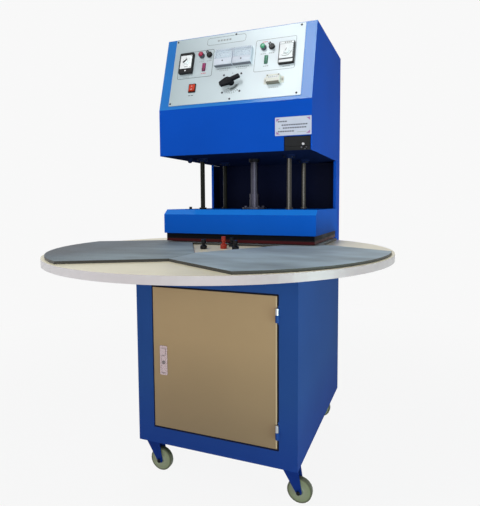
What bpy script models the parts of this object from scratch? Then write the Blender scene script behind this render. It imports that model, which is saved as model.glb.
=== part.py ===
"""Blister sealing machine with a three-station turntable, as a stand-alone Blender model.

A sheet-metal cabinet on four casters carries a steel deck. A spindle in the deck turns a round
table with three grey mats. An open-fronted column at the back carries the head, whose sloped
front holds the controls. An air cylinder in the head pushes the heated press down on the mat
that is under it, and four guide posts keep the press level.

Units are metres and +Z is up. The origin is on the floor, under the middle of the machine's
bounding box. Y sizes below are measured from the table's axis, and an empty moves them all.
"""

import math

import bmesh
import bpy
from mathutils import Matrix, Vector

for old in list(bpy.data.objects):
    bpy.data.objects.remove(old, do_unlink=True)

# Gaps between pieces
SEAT_GAP = 0.0003
RUNNING_GAP = 0.0004
DOOR_GAP = 0.003
CUT_PAST = 0.004

# Sheet metal
SHEET = 0.002
HALF_WIDTH = 0.265

# Turntable
TABLE_RADIUS = 0.512
TABLE_THICKNESS = 0.020
TABLE_LIFT = 0.0347
HUB_KNOB_CIRCLE = 0.062
HUB_KNOB_RADIUS = 0.0105
HUB_KNOB_HEIGHT = 0.030
HUB_CAP_HEIGHT = 0.038
HUB_STUD_RADIUS = 0.004
MAT_MARGIN = 0.009
MAT_RADIUS = TABLE_RADIUS - MAT_MARGIN
PRESS_OVERHANG = 0.007
MAT_OVERHANG = 0.003
PRESS_HALF_WIDTH = HALF_WIDTH + PRESS_OVERHANG
MAT_HALF_WIDTH = PRESS_HALF_WIDTH + MAT_OVERHANG
MAT_HUB_CLEARANCE = 0.0215
MAT_INNER = HUB_KNOB_CIRCLE + HUB_KNOB_RADIUS + MAT_HUB_CLEARANCE
MAT_THICKNESS = 0.007
MAT_SPLIT_GAP = 0.0012
STATIONS = 3
SPINDLE_RADIUS = 0.015
SPINDLE_FLANGE_RADIUS = 0.085
SPINDLE_FLANGE = 0.008
SPINDLE_TAIL = 0.045
BEARING_RADIUS = 0.040
BEARING_FLANGE_RADIUS = 0.062
BEARING_FLANGE = 0.008
ANVIL_HALF_WIDTH = 0.170
ANVIL_GAP = 0.001

# Column. Its lips stand just outside the table's rim, and its back wall just behind the rim.
COLUMN_LIP = 0.010
LIP_CLEARANCE = 0.0071
RIM_CLEARANCE = 0.010
COLUMN_FRONT_Y = math.sqrt(TABLE_RADIUS**2 - (HALF_WIDTH - COLUMN_LIP - LIP_CLEARANCE) ** 2)
BACK_Y = TABLE_RADIUS + RIM_CLEARANCE + SHEET

# Heights, from the top of the head down to the deck
HEAD_TOP_Z = 1.434
HEAD_HEIGHT = 0.403
HEAD_BOTTOM_Z = HEAD_TOP_Z - HEAD_HEIGHT
PRESS_DAYLIGHT = 0.181
PRESS_TOP_Z = HEAD_BOTTOM_Z - PRESS_DAYLIGHT
PRESS_HEIGHT = 0.1097
PRESS_LIFT_GAP = 0.003
PAD_BOTTOM_Z = PRESS_TOP_Z - PRESS_HEIGHT
TABLE_TOP_Z = PAD_BOTTOM_Z - PRESS_LIFT_GAP - MAT_THICKNESS - SEAT_GAP
DECK_THICKNESS = 0.006
DECK_TOP_Z = TABLE_TOP_Z - TABLE_THICKNESS - TABLE_LIFT
DECK_BOTTOM_Z = DECK_TOP_Z - DECK_THICKNESS

# Casters
WHEEL_RADIUS = 0.0375
WHEEL_HALF_WIDTH = 0.0115
WHEEL_TOP_CLEARANCE = 0.0216
CASTER_INSET_X = 0.0315
CASTER_INSET_Y = 0.037
CASTER_TRAIL = 0.0285
CASTER_PLATE_HALF = 0.029
CASTER_PLATE = 0.003
RACE_RADIUS = 0.021
RACE_HEIGHT = 0.004
FORK_SIDE = 0.0025
FORK_CROWN = 0.006
AXLE_RADIUS = 0.004

# Cabinet
CABINET_FRONT_Y = -0.087
CABINET_TOP_Z = DECK_BOTTOM_Z - SEAT_GAP
CROWN_TOP_Z = 2 * WHEEL_RADIUS + WHEEL_TOP_CLEARANCE + FORK_CROWN
CABINET_BOTTOM_Z = CROWN_TOP_Z + RUNNING_GAP + RACE_HEIGHT + CASTER_PLATE
CASTER_X = HALF_WIDTH - CASTER_INSET_X
CASTER_FRONT_Y = CABINET_FRONT_Y + CASTER_INSET_Y
CASTER_BACK_Y = BACK_Y - CASTER_INSET_Y

# Door
DOOR_SIDE_FRAME = 0.058
DOOR_END_FRAME = 0.054
DOOR_OPENING_HALF_WIDTH = HALF_WIDTH - DOOR_SIDE_FRAME
DOOR_OPENING_BOTTOM_Z = CABINET_BOTTOM_Z + DOOR_END_FRAME
DOOR_OPENING_TOP_Z = CABINET_TOP_Z - DOOR_END_FRAME
DOOR_DEPTH = 0.016
DOOR_STOP_DEPTH = 0.024
DOOR_STOP_LIP = 0.012
HINGE_RADIUS = 0.005
HINGE_HALF_LENGTH = 0.021
HINGE_PIN_RADIUS = 0.0026
HINGE_PIN_LENGTH = 0.016
HINGE_INSET_Z = 0.056
LOCK_INSET = 0.039
LOCK_DROP = 0.0065
LOCK_X = LOCK_INSET - DOOR_OPENING_HALF_WIDTH
LOCK_Z = (DOOR_OPENING_BOTTOM_Z + DOOR_OPENING_TOP_Z) / 2 - LOCK_DROP
LOCK_WIDTH = 0.0265
LOCK_HEIGHT = 0.093

# Head
HEAD_FRONT_Y = 0.061
SLOPE_HEIGHT = 0.250
SLOPE_DEPTH = 0.069
SLOPE_BOTTOM_Z = HEAD_TOP_Z - SLOPE_HEIGHT
SLOPE_TOP_Y = HEAD_FRONT_Y + SLOPE_DEPTH
SLOPE_LEAN = math.atan2(SLOPE_DEPTH, SLOPE_HEIGHT)
SLOPE_LENGTH = math.hypot(SLOPE_DEPTH, SLOPE_HEIGHT)
HEAD_PLATE_THICKNESS = 0.012
HEAD_PLATE_SETBACK = 0.004

# Press
PRESS_HUB_CLEARANCE = 0.0185
PRESS_FRONT_Y = HUB_KNOB_CIRCLE + HUB_KNOB_RADIUS + PRESS_HUB_CLEARANCE
PRESS_COLUMN_CLEARANCE = 0.007
PRESS_BACK_Y = COLUMN_FRONT_Y - PRESS_COLUMN_CLEARANCE
PRESS_CENTRE_Y = (PRESS_FRONT_Y + PRESS_BACK_Y) / 2
PRESS_COVER_HEIGHT = 0.082
PRESS_COVER_BOTTOM_Z = PRESS_TOP_Z - PRESS_COVER_HEIGHT
PRESS_CHAMFER_Y = 0.020
PRESS_CHAMFER_Z = 0.017
PRESS_INSET = 0.006
PAD_THICKNESS = 0.012
HEATER_THICKNESS = 0.030
PLATEN_THICKNESS = 0.015
PRESS_STROKE = 0.080

# Guides and air cylinder
POST_RADIUS = 0.008
POST_X = 0.161
POST_PITCH_Y = 0.190
POST_ABOVE_PLATE = 0.055
POST_COLLAR_RADIUS = 0.013
POST_COLLAR = 0.006
BUSH_RADIUS = 0.014
BUSH_WALL = BUSH_RADIUS - POST_RADIUS
BUSH_FLANGE_RADIUS = 0.021
BUSH_FLANGE = 0.006
BUSH_BELOW = 0.012
ROD_RADIUS = 0.0125
GLAND_RADIUS = 0.019
GLAND_BELOW = 0.012
BARREL_RADIUS = 0.040
BARREL_WALL = 0.003
CAP_LAND = 0.002
CAP_HALF_WIDTH = BARREL_RADIUS + CAP_LAND
CAP_THICKNESS = 0.025
PISTON_THICKNESS = 0.018
END_GAP = 0.001
TIE_ROD_RADIUS = 0.004
TIE_ROD_INSET = 0.008
TIE_ROD_X = CAP_HALF_WIDTH - TIE_ROD_INSET
# The facets of the ram and of the bores round it line up, so that the running gap holds all round.
BORE_SIDES = 20

# Control panel, in its own frame: x across, y up the slope, z out of the panel
PANEL_SIDE_MARGIN = 0.036
PANEL_SILL = 0.012
PANEL_TOP_MARGIN = 0.0035
PANEL_HALF_WIDTH = HALF_WIDTH - PANEL_SIDE_MARGIN
PANEL_LOW = PANEL_SILL
PANEL_HIGH = SLOPE_LENGTH - PANEL_TOP_MARGIN
PANEL_THICKNESS = 0.002
PANEL_BORDER = 0.014
METER_WIDTH = 0.063
METER_HEIGHT = 0.056
METER_DEPTH = 0.015
METER_GAP = 0.002
METERS_MIDDLE = -0.005
CONTROLLER_WIDTH = 0.050
CONTROLLER_HEIGHT = 0.0735
CONTROLLER_DEPTH = 0.010
DIAL_KNOB_RADIUS = 0.0100
DIAL_KNOB_HEIGHT = 0.006
SWITCH_PITCH = 0.028
SWITCH_NECK = 0.0085
SWITCH_BEZEL = 0.0098
SWITCH_BEZEL_HEIGHT = 0.011
SWITCH_BORE = 0.0058
BUTTON_WALL = 0.0016
SELECTOR_RADIUS = 0.0098
LAMP_WIDTH = 0.012
LAMP_HEIGHT = 0.028
LAMP_OFFSET_X = -0.002
ROCKER_WIDTH = 0.026
ROCKER_HEIGHT = 0.030
ROCKER_TILT = math.radians(8)
ROCKER_OFFSET_X = 0.0305
HANDLE_X = -0.004
HANDLE_STANDOFF = 0.0155
HANDLE_THICKNESS = 0.011
HANDLE_SHAFT = 0.005
HANDLE_ANGLE = math.radians(21.5)
COUNTER_WIDTH = 0.044
COUNTER_HEIGHT = 0.026
COUNTER_DEPTH = 0.014
COUNTER_EAR = 0.011
COUNTER_OFFSET_X = -0.0355

# Rear fittings
GLAND_REACH = 0.016
REAR_FITTING_RISE = 0.060

# The table's rim is the furthest point in front and the rear fittings are the furthest behind.
AXIS_Y = -(BACK_Y + GLAND_REACH - TABLE_RADIUS) / 2


def row_outward(start, end, widths, gaps):
    """The middles of pieces set in a row from start to end. Their gaps share the room left over."""
    side = 1 if end > start else -1
    room = (abs(end - start) - sum(widths)) / sum(gaps)
    middles = []
    place = start
    for width, gap in zip(widths, gaps):
        place += side * gap * room
        middles.append(place + side * width / 2)
        place += side * width
    return middles


def up_panel(share):
    """A height on the panel, from 0 at its lower edge to 1 at its upper edge."""
    return PANEL_LOW + share * (PANEL_HIGH - PANEL_LOW)


# Across: the meters stand together, and on each side a pair of switches and a controller follow.
METER_PITCH = METER_WIDTH + METER_GAP
METER_X = (METERS_MIDDLE - METER_PITCH / 2, METERS_MIDDLE + METER_PITCH / 2)
PAIR_WIDTH = SWITCH_PITCH + 2 * SWITCH_BEZEL
ROW_WIDTHS = (PAIR_WIDTH, CONTROLLER_WIDTH)
LEFT_PAIR_X, TIMER_X = row_outward(
    METER_X[0] - METER_WIDTH / 2, -HALF_WIDTH, ROW_WIDTHS, (0.0167, 0.0182, 0.0635)
)
RIGHT_PAIR_X, THERMOSTAT_X = row_outward(
    METER_X[1] + METER_WIDTH / 2, HALF_WIDTH, ROW_WIDTHS, (0.0267, 0.0172, 0.0645)
)
CONTROLLER_X = (TIMER_X, THERMOSTAT_X)
BUTTON_X = (LEFT_PAIR_X - SWITCH_PITCH / 2, RIGHT_PAIR_X - SWITCH_PITCH / 2)
SELECTOR_X = (LEFT_PAIR_X + SWITCH_PITCH / 2, RIGHT_PAIR_X + SWITCH_PITCH / 2)
LAMP_X = (LEFT_PAIR_X + LAMP_OFFSET_X, RIGHT_PAIR_X + LAMP_OFFSET_X)
ROCKER_X = TIMER_X + ROCKER_OFFSET_X
COUNTER_X = THERMOSTAT_X + COUNTER_OFFSET_X

# Up: each row stands at its share of the panel's height.
METER_Y = up_panel(0.6192)
CONTROLLER_Y = (up_panel(0.6070), up_panel(0.5844))
BUTTON_Y = up_panel(0.7095)
LAMP_Y = up_panel(0.5331)
ROCKER_Y = up_panel(0.2337)
HANDLE_Y = up_panel(0.2543)
COUNTER_Y = up_panel(0.2296)

parts = bpy.data.collections.new("blister_sealing_machine")
cutters = bpy.data.collections.new("cutters")
bpy.context.scene.collection.children.link(parts)
bpy.context.scene.collection.children.link(cutters)


def empty(name, location, rotation=(0, 0, 0), parent=None):
    holder = bpy.data.objects.new(name, None)
    holder.location = location
    holder.rotation_euler = rotation
    holder.parent = parent
    parts.objects.link(holder)
    return holder


MACHINE = empty("machine_origin", (0, AXIS_Y, 0))
PANEL = empty(
    "panel_origin", (0, HEAD_FRONT_Y, SLOPE_BOTTOM_Z), (math.pi / 2 - SLOPE_LEAN, 0, 0), MACHINE
)


def material(name, colour, roughness, metallic=0.0):
    made = bpy.data.materials.new(name)
    made.use_nodes = True
    shader = made.node_tree.nodes["Principled BSDF"]
    shader.inputs["Base Color"].default_value = (*colour, 1.0)
    shader.inputs["Roughness"].default_value = roughness
    shader.inputs["Metallic"].default_value = metallic
    return made


BLUE = material("blue_paint", (0.010, 0.075, 0.42), 0.35)
TAN = material("bronze_paint", (0.33, 0.22, 0.12), 0.45)
WHITE = material("panel_white", (0.78, 0.80, 0.82), 0.4)
CREAM = material("table_laminate", (0.74, 0.68, 0.52), 0.5)
MAT = material("grey_mat", (0.18, 0.22, 0.24), 0.8)
STEEL = material("steel", (0.42, 0.42, 0.43), 0.35, 1.0)
CHROME = material("chrome", (0.75, 0.75, 0.76), 0.12, 1.0)
DARK = material("dark_steel", (0.03, 0.03, 0.035), 0.5, 0.4)
BLACK = material("black_plastic", (0.012, 0.012, 0.014), 0.4)
RED = material("red_plastic", (0.55, 0.02, 0.015), 0.35)
GREEN = material("green_plastic", (0.01, 0.33, 0.13), 0.35)
SILICONE = material("red_silicone", (0.28, 0.03, 0.02), 0.5)
METER = material("meter_plastic", (0.72, 0.76, 0.78), 0.2)
TYRE = material("caster_rubber", (0.36, 0.37, 0.31), 0.6)
ALUMINIUM = material("aluminium", (0.62, 0.63, 0.65), 0.4, 1.0)


def add(name, mesh, surface, location=(0, 0, 0), rotation=(0, 0, 0), parent=MACHINE, home=parts):
    made = bpy.data.objects.new(name, mesh)
    home.objects.link(made)
    made.location = location
    made.rotation_euler = rotation
    made.parent = parent
    if surface and not mesh.materials:
        mesh.materials.append(surface)
    return made


def mesh_from(name, shape):
    mesh = bpy.data.meshes.new(name)
    shape.to_mesh(mesh)
    shape.free()
    return mesh


def block(name, low, high, surface, bevel=0.0, **place):
    """A box from its lowest to its highest corner, with rounded edges where bevel is given."""
    low, high = Vector(low), Vector(high)
    shape = bmesh.new()
    bmesh.ops.create_cube(shape, size=1.0, matrix=Matrix.Diagonal((*(high - low), 1.0)))
    made = add(name, mesh_from(name, shape), surface, (low + high) / 2, **place)
    if bevel:
        rounding = made.modifiers.new("rounded_edges", "BEVEL")
        rounding.width = bevel
        rounding.segments = 2
    return made


def rod(name, radius, start, end, surface, sides=32, **place):
    """A round bar, or a prism with few sides, between two points."""
    start, end = Vector(start), Vector(end)
    shape = bmesh.new()
    bmesh.ops.create_cone(
        shape, cap_ends=True, segments=sides, radius1=radius, radius2=radius, depth=(end - start).length
    )
    turn = (end - start).to_track_quat("Z", "Y").to_euler()
    made = add(name, mesh_from(name, shape), surface, (start + end) / 2, turn, **place)
    if sides > 8:
        made.data.shade_smooth()
        made.data.set_sharp_from_angle(angle=math.radians(40))
    return made


def turned(name, profile, surface, location=(0, 0, 0), rotation=(0, 0, 0), sides=32, ring=False, **place):
    """A lathe-turned piece about its own Z. The profile is (radius, height), down its outer side."""
    shape = bmesh.new()
    points = [shape.verts.new((radius, 0, height)) for radius, height in profile]
    for first, second in zip(points, points[1:]):
        shape.edges.new((first, second))
    if ring:
        shape.edges.new((points[-1], points[0]))
    made = add(name, mesh_from(name, shape), surface, location, rotation, **place)
    lathe = made.modifiers.new("lathe", "SCREW")
    lathe.steps = sides
    lathe.render_steps = sides
    lathe.use_merge_vertices = True
    lathe.merge_threshold = 0.00001
    lathe.use_smooth_shade = True
    return made


def outline_mesh(name, loops, thickness):
    """A flat outline, with any further loops as its holes, as a welded plate centred on Z 0."""
    curve = bpy.data.curves.new(name, "CURVE")
    curve.dimensions = "2D"
    curve.fill_mode = "BOTH"
    curve.extrude = thickness / 2
    for loop in loops:
        spline = curve.splines.new("POLY")
        spline.points.add(len(loop) - 1)
        for point, (x, y) in zip(spline.points, loop):
            point.co = (x, y, 0, 1)
        spline.use_cyclic_u = True
    drawn = bpy.data.objects.new(name, curve)
    parts.objects.link(drawn)
    seen = drawn.evaluated_get(bpy.context.evaluated_depsgraph_get())
    mesh = bpy.data.meshes.new_from_object(seen)
    bpy.data.objects.remove(drawn)
    bpy.data.curves.remove(curve)
    shape = bmesh.new()
    shape.from_mesh(mesh)
    bmesh.ops.remove_doubles(shape, verts=shape.verts, dist=0.000001)
    bmesh.ops.dissolve_limit(
        shape, angle_limit=math.radians(0.5), verts=shape.verts, edges=shape.edges
    )
    shape.to_mesh(mesh)
    shape.free()
    mesh.name = name
    return mesh


def plate(name, loops, low, high, surface, location=(0, 0, 0), rotation=(0, 0, 0), **place):
    """A flat outline between two heights of its own Z."""
    mesh = outline_mesh(name, loops, high - low)
    mesh.transform(Matrix.Translation((0, 0, (low + high) / 2)))
    return add(name, mesh, surface, location, rotation, **place)


def across(name, loops, half_width, surface, **place):
    """A side outline, given as (y, z), pushed out to both sides along X."""
    mesh = outline_mesh(name, loops, 2 * half_width)
    mesh.transform(Matrix(((0, 0, 1, 0), (1, 0, 0, 0), (0, 1, 0, 0), (0, 0, 0, 1))))
    return add(name, mesh, surface, **place)


def fold_sheet(made, open_side, wall=SHEET):
    """Opens a closed form on the side that faces open_side and gives its walls their thickness."""
    shape = bmesh.new()
    shape.from_mesh(made.data)
    shape.normal_update()
    facing = [face for face in shape.faces if face.normal.dot(Vector(open_side)) > 0.9]
    bmesh.ops.delete(shape, geom=facing, context="FACES")
    shape.to_mesh(made.data)
    shape.free()
    walls = made.modifiers.new("sheet", "SOLIDIFY")
    walls.thickness = wall
    walls.offset = -1.0
    walls.use_even_offset = True
    return made


def cut(made, *tools):
    for tool in tools:
        combine(made, tool, "DIFFERENCE")
    return made


def fuse(made, *pieces):
    for piece in pieces:
        combine(made, piece, "UNION")
    return made


def combine(made, tool, operation):
    """Cuts a piece with a tool, or joins the tool to it. The tool stays as a hidden guide."""
    change = made.modifiers.new(tool.name, "BOOLEAN")
    change.operation = operation
    change.object = tool
    tool.hide_render = True
    tool.display_type = "WIRE"
    for home in list(tool.users_collection):
        home.objects.unlink(tool)
    cutters.objects.link(tool)


def rectangle(width, height, x=0.0, y=0.0, corner=0.0, steps=4):
    """The corners of a rectangle about (x, y), with round corners where corner is given."""
    if not corner:
        return [
            (x + sx * width / 2, y + sy * height / 2) for sx, sy in ((-1, -1), (1, -1), (1, 1), (-1, 1))
        ]
    points = []
    for quarter, (sx, sy) in enumerate(((1, 1), (-1, 1), (-1, -1), (1, -1))):
        centre_x = x + sx * (width / 2 - corner)
        centre_y = y + sy * (height / 2 - corner)
        for step in range(steps + 1):
            angle = math.pi / 2 * (quarter + step / steps)
            points.append((centre_x + corner * math.cos(angle), centre_y + corner * math.sin(angle)))
    return points


def circle(radius, x=0.0, y=0.0, steps=24):
    return [
        (x + radius * math.cos(2 * math.pi * n / steps), y + radius * math.sin(2 * math.pi * n / steps))
        for n in range(steps)
    ]


def build_cabinet():
    cabinet = block(
        "cabinet",
        (-HALF_WIDTH, CABINET_FRONT_Y, CABINET_BOTTOM_Z),
        (HALF_WIDTH, BACK_Y, CABINET_TOP_Z),
        BLUE,
    )
    fold_sheet(cabinet, (0, 0, 1))
    opening = block(
        "door_opening",
        (-DOOR_OPENING_HALF_WIDTH, CABINET_FRONT_Y - CUT_PAST, DOOR_OPENING_BOTTOM_Z),
        (DOOR_OPENING_HALF_WIDTH, CABINET_FRONT_Y + SHEET + CUT_PAST, DOOR_OPENING_TOP_Z),
        None,
    )
    stop_frame, pocket, window = door_stop()
    cut(fuse(cabinet, stop_frame), opening, pocket, window)
    for fitting in (POWER_GLAND, AIR_INLET):
        cut(cabinet, rear_hole(fitting))
    fuse(cabinet, *hinge_pins(), *caster_plates())
    rod_hole = SPINDLE_RADIUS + 0.004
    plate(
        "deck",
        [
            rectangle(2 * HALF_WIDTH, BACK_Y - CABINET_FRONT_Y, 0, (BACK_Y + CABINET_FRONT_Y) / 2),
            circle(rod_hole),
        ],
        DECK_BOTTOM_Z,
        DECK_TOP_Z,
        BLUE,
    )


# The service opening in the back of the head
SERVICE_SIDE_MARGIN = 0.075
SERVICE_LOW_MARGIN = 0.089
SERVICE_TOP_MARGIN = 0.054
SERVICE_HALF_WIDTH = HALF_WIDTH - SERVICE_SIDE_MARGIN
SERVICE_LOW_Z = HEAD_BOTTOM_Z + SERVICE_LOW_MARGIN
SERVICE_HIGH_Z = HEAD_TOP_Z - SERVICE_TOP_MARGIN
# Each rear fitting is (name, x, z, thread radius).
REAR_FITTING_Z = CABINET_BOTTOM_Z + REAR_FITTING_RISE
POWER_GLAND = ("cable_gland", 0.120, REAR_FITTING_Z, 0.010)
AIR_INLET = ("air_inlet", -0.120, REAR_FITTING_Z, 0.007)
COVER_LAP = 0.015
COVER_THICKNESS = 0.0015
COVER_SCREW = 0.004


def service_hole():
    return block(
        "service_hole",
        (-SERVICE_HALF_WIDTH, BACK_Y - SHEET - CUT_PAST, SERVICE_LOW_Z),
        (SERVICE_HALF_WIDTH, BACK_Y + CUT_PAST, SERVICE_HIGH_Z),
        None,
    )


def rear_hole(fitting):
    name, x, z, radius = fitting
    return rod(
        name + "_hole",
        radius + SEAT_GAP,
        (x, BACK_Y - SHEET - CUT_PAST, z),
        (x, BACK_Y + CUT_PAST, z),
        None,
        16,
    )


def rear_cover():
    """The screwed cover over the service opening in the back of the head."""
    half, low, high = SERVICE_HALF_WIDTH, SERVICE_LOW_Z, SERVICE_HIGH_Z
    width, height = 2 * (half + COVER_LAP), high - low + 2 * COVER_LAP
    cover = plate(
        "rear_cover",
        [rectangle(width, height, 0, (low + high) / 2, 0.006)],
        SEAT_GAP,
        SEAT_GAP + COVER_THICKNESS,
        BLUE,
        (0, BACK_Y, 0),
        (math.pi / 2, 0, math.pi),
    )
    screw_x = half + COVER_LAP / 2
    screw_y = BACK_Y + SEAT_GAP + COVER_THICKNESS
    screws = [
        rod(
            f"cover_screw_{side}_{row}",
            COVER_SCREW,
            (side * screw_x, screw_y - COVER_THICKNESS / 2, z),
            (side * screw_x, screw_y + 0.002, z),
            None,
            8,
        )
        for side in (-1, 1)
        for row, z in enumerate((low, (low + high) / 2, high))
    ]
    fuse(cover, *screws)


def rear_fittings():
    """The power cable's gland and the air inlet, each with its shoulder on the back wall."""
    for fitting, surface, sides in ((POWER_GLAND, BLACK, 16), (AIR_INLET, STEEL, 12)):
        name, x, z, radius = fitting
        bore = radius * 0.5
        nose = radius * 0.85
        shoulder = radius * 1.45
        turned(
            name,
            [
                (nose, GLAND_REACH),
                (nose, GLAND_REACH * 0.55),
                (shoulder, GLAND_REACH * 0.5),
                (shoulder, SEAT_GAP),
                (radius, SEAT_GAP),
                (radius, -0.012),
                (bore, -0.012),
                (bore, GLAND_REACH),
            ],
            surface,
            (x, BACK_Y, z),
            (-math.pi / 2, 0, 0),
            sides,
            ring=True,
        )


def door_stop():
    """A welded frame of L section behind the door opening, which the closed door meets."""
    half = DOOR_OPENING_HALF_WIDTH
    front = CABINET_FRONT_Y + SHEET / 2
    back = CABINET_FRONT_Y + DOOR_STOP_DEPTH

    def box(name, extra, low_y, high_y):
        return block(
            name,
            (-half - extra, low_y, DOOR_OPENING_BOTTOM_Z - extra),
            (half + extra, high_y, DOOR_OPENING_TOP_Z + extra),
            BLUE,
        )

    frame = box("door_stop_frame", SHEET, front, back)
    pocket = box("door_pocket", 0.0, front - CUT_PAST, back - SHEET)
    window = box("door_window", -DOOR_STOP_LIP, front, back + CUT_PAST)
    return frame, pocket, window


def hinge_positions():
    return {
        "upper": DOOR_OPENING_TOP_Z - HINGE_INSET_Z,
        "lower": DOOR_OPENING_BOTTOM_Z + HINGE_INSET_Z,
    }


def hinge_weld(name, side, low_z, high_z, **place):
    """The bead that holds one half of a hinge, to the frame where side is 1 and to the door at -1."""
    near, far = DOOR_GAP / 2 + 0.0006, HINGE_RADIUS * 0.9
    return block(
        name,
        (min(side * near, side * far), -HINGE_RADIUS * 0.4, low_z),
        (max(side * near, side * far), HINGE_RADIUS + SEAT_GAP + 0.0008, high_z),
        None,
        **place,
    )


def hinge_pins():
    """The halves of the hinges that are welded to the cabinet, each with its upright pin."""
    made = []
    for name, z in hinge_positions().items():
        pin = turned(
            f"hinge_pin_{name}",
            [
                (0, HINGE_PIN_LENGTH),
                (HINGE_PIN_RADIUS, HINGE_PIN_LENGTH),
                (HINGE_PIN_RADIUS, -SEAT_GAP),
                (HINGE_RADIUS, -SEAT_GAP),
                (HINGE_RADIUS, -HINGE_HALF_LENGTH),
                (0, -HINGE_HALF_LENGTH),
            ],
            None,
            (HINGE_X, HINGE_Y, z),
            sides=14,
        )
        weld = hinge_weld(f"pin_weld_{name}", 1, -HINGE_HALF_LENGTH + 0.001, -0.001)
        weld.location += Vector((HINGE_X, HINGE_Y, z))
        made += [pin, weld]
    return made


DOOR_HALF_WIDTH = DOOR_OPENING_HALF_WIDTH - DOOR_GAP
HINGE_X = DOOR_OPENING_HALF_WIDTH - DOOR_GAP / 2
HINGE_Y = CABINET_FRONT_Y - HINGE_RADIUS - SEAT_GAP


def build_door():
    """A folded pan door on two lift-off hinges, with a push-button lock."""
    hinge_line = empty("door_axis", (HINGE_X, HINGE_Y, 0), parent=MACHINE)
    low = Vector((-DOOR_HALF_WIDTH, CABINET_FRONT_Y, DOOR_OPENING_BOTTOM_Z + DOOR_GAP))
    high = Vector((DOOR_HALF_WIDTH, CABINET_FRONT_Y + DOOR_DEPTH, DOOR_OPENING_TOP_Z - DOOR_GAP))
    shift = Vector((-HINGE_X, -HINGE_Y, 0))
    door = block("door", low + shift, high + shift, TAN, parent=hinge_line)
    fold_sheet(door, (0, 1, 0), 0.0015)
    lock_hole = block(
        "lock_hole",
        Vector((LOCK_X - LOCK_WIDTH / 2 + 0.003, CABINET_FRONT_Y - CUT_PAST, LOCK_Z - LOCK_HEIGHT / 2 + 0.004))
        + shift,
        Vector((LOCK_X + LOCK_WIDTH / 2 - 0.003, CABINET_FRONT_Y + CUT_PAST, LOCK_Z + LOCK_HEIGHT / 2 - 0.004))
        + shift,
        None,
        parent=hinge_line,
    )
    cut(door, lock_hole)
    bore = HINGE_PIN_RADIUS + SEAT_GAP
    for name, z in hinge_positions().items():
        cup = turned(
            f"hinge_cup_{name}",
            [
                (0, HINGE_HALF_LENGTH),
                (HINGE_RADIUS * 0.7, HINGE_HALF_LENGTH),
                (HINGE_RADIUS, HINGE_HALF_LENGTH * 0.9),
                (HINGE_RADIUS, SEAT_GAP),
                (bore, SEAT_GAP),
                (bore, HINGE_PIN_LENGTH + 0.001),
                (0, HINGE_PIN_LENGTH + 0.001),
            ],
            None,
            (0, 0, z),
            sides=14,
            parent=hinge_line,
        )
        pin_room = rod(
            f"pin_room_{name}",
            bore,
            (0, 0, z - CUT_PAST),
            (0, 0, z + HINGE_PIN_LENGTH + 0.001),
            None,
            14,
            parent=hinge_line,
        )
        weld = hinge_weld(f"cup_weld_{name}", -1, 0.001, HINGE_HALF_LENGTH - 0.001, parent=hinge_line)
        weld.location.z += z
        cut(fuse(door, cup, weld), pin_room)
    build_lock(hinge_line, shift)


LOCK_FLANGE = 0.002
LOCK_BUTTON_HEIGHT = 0.020
LOCK_LEVER_HEIGHT = 0.056
LOCK_POCKET = 0.013


def build_lock(hinge_line, shift):
    """A plated flush lock: a body with a pocket, a push button and a lever hung from its top."""
    face_y = CABINET_FRONT_Y - SEAT_GAP
    holder = empty(
        "lock_origin", Vector((LOCK_X, face_y, LOCK_Z)) + shift, (math.pi / 2, 0, 0), hinge_line
    )
    body = plate(
        "lock_body", [rectangle(LOCK_WIDTH, LOCK_HEIGHT, corner=0.003)], 0, LOCK_FLANGE, CHROME, parent=holder
    )
    back = block(
        "lock_back",
        (-LOCK_WIDTH / 2 + 0.0035, -LOCK_HEIGHT / 2 + 0.0045, -LOCK_POCKET),
        (LOCK_WIDTH / 2 - 0.0035, LOCK_HEIGHT / 2 - 0.0045, LOCK_FLANGE / 2),
        None,
        parent=holder,
    )
    half = LOCK_WIDTH / 2 - 0.0055
    button_top = LOCK_HEIGHT / 2 - 0.008
    button_low = button_top - LOCK_BUTTON_HEIGHT
    lever_top = button_low - 0.003
    lever_low = lever_top - LOCK_LEVER_HEIGHT
    button_well = block(
        "button_well",
        (-half, button_low, -LOCK_POCKET + 0.003),
        (half, button_top, LOCK_FLANGE + CUT_PAST),
        None,
        parent=holder,
    )
    lever_well = block(
        "lever_well",
        (-half, lever_low - 0.0005, -LOCK_POCKET + 0.002),
        (half, lever_top, LOCK_FLANGE + CUT_PAST),
        None,
        parent=holder,
    )
    cut(fuse(body, back), button_well, lever_well)
    inner = half - SEAT_GAP
    block(
        "lock_button",
        (-inner, button_low + SEAT_GAP, -LOCK_POCKET + 0.008),
        (inner, button_top - SEAT_GAP, LOCK_FLANGE + 0.0015),
        CHROME,
        0.0008,
        parent=holder,
    )
    pivot = empty("lever_axis", (0, lever_top - 0.0034, LOCK_FLANGE - 0.0023), parent=holder)
    block(
        "lock_lever",
        (-inner, lever_low - pivot.location.y + 0.001, -0.0022),
        (inner, 0.0022, 0.0022),
        CHROME,
        0.0008,
        parent=pivot,
    )


def build_column():
    """A folded channel, open to the front, that the table's rim passes through."""
    w, f, b, t, lip = HALF_WIDTH, COLUMN_FRONT_Y, BACK_Y, SHEET, HALF_WIDTH - COLUMN_LIP
    right = [(w, b), (w, f), (lip, f), (lip, f + t), (w - t, f + t), (w - t, b - t)]
    left = [(-x, y) for x, y in reversed(right)]
    plate("column", [right + left], DECK_TOP_Z + SEAT_GAP, HEAD_BOTTOM_Z - SEAT_GAP, BLUE)


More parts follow.
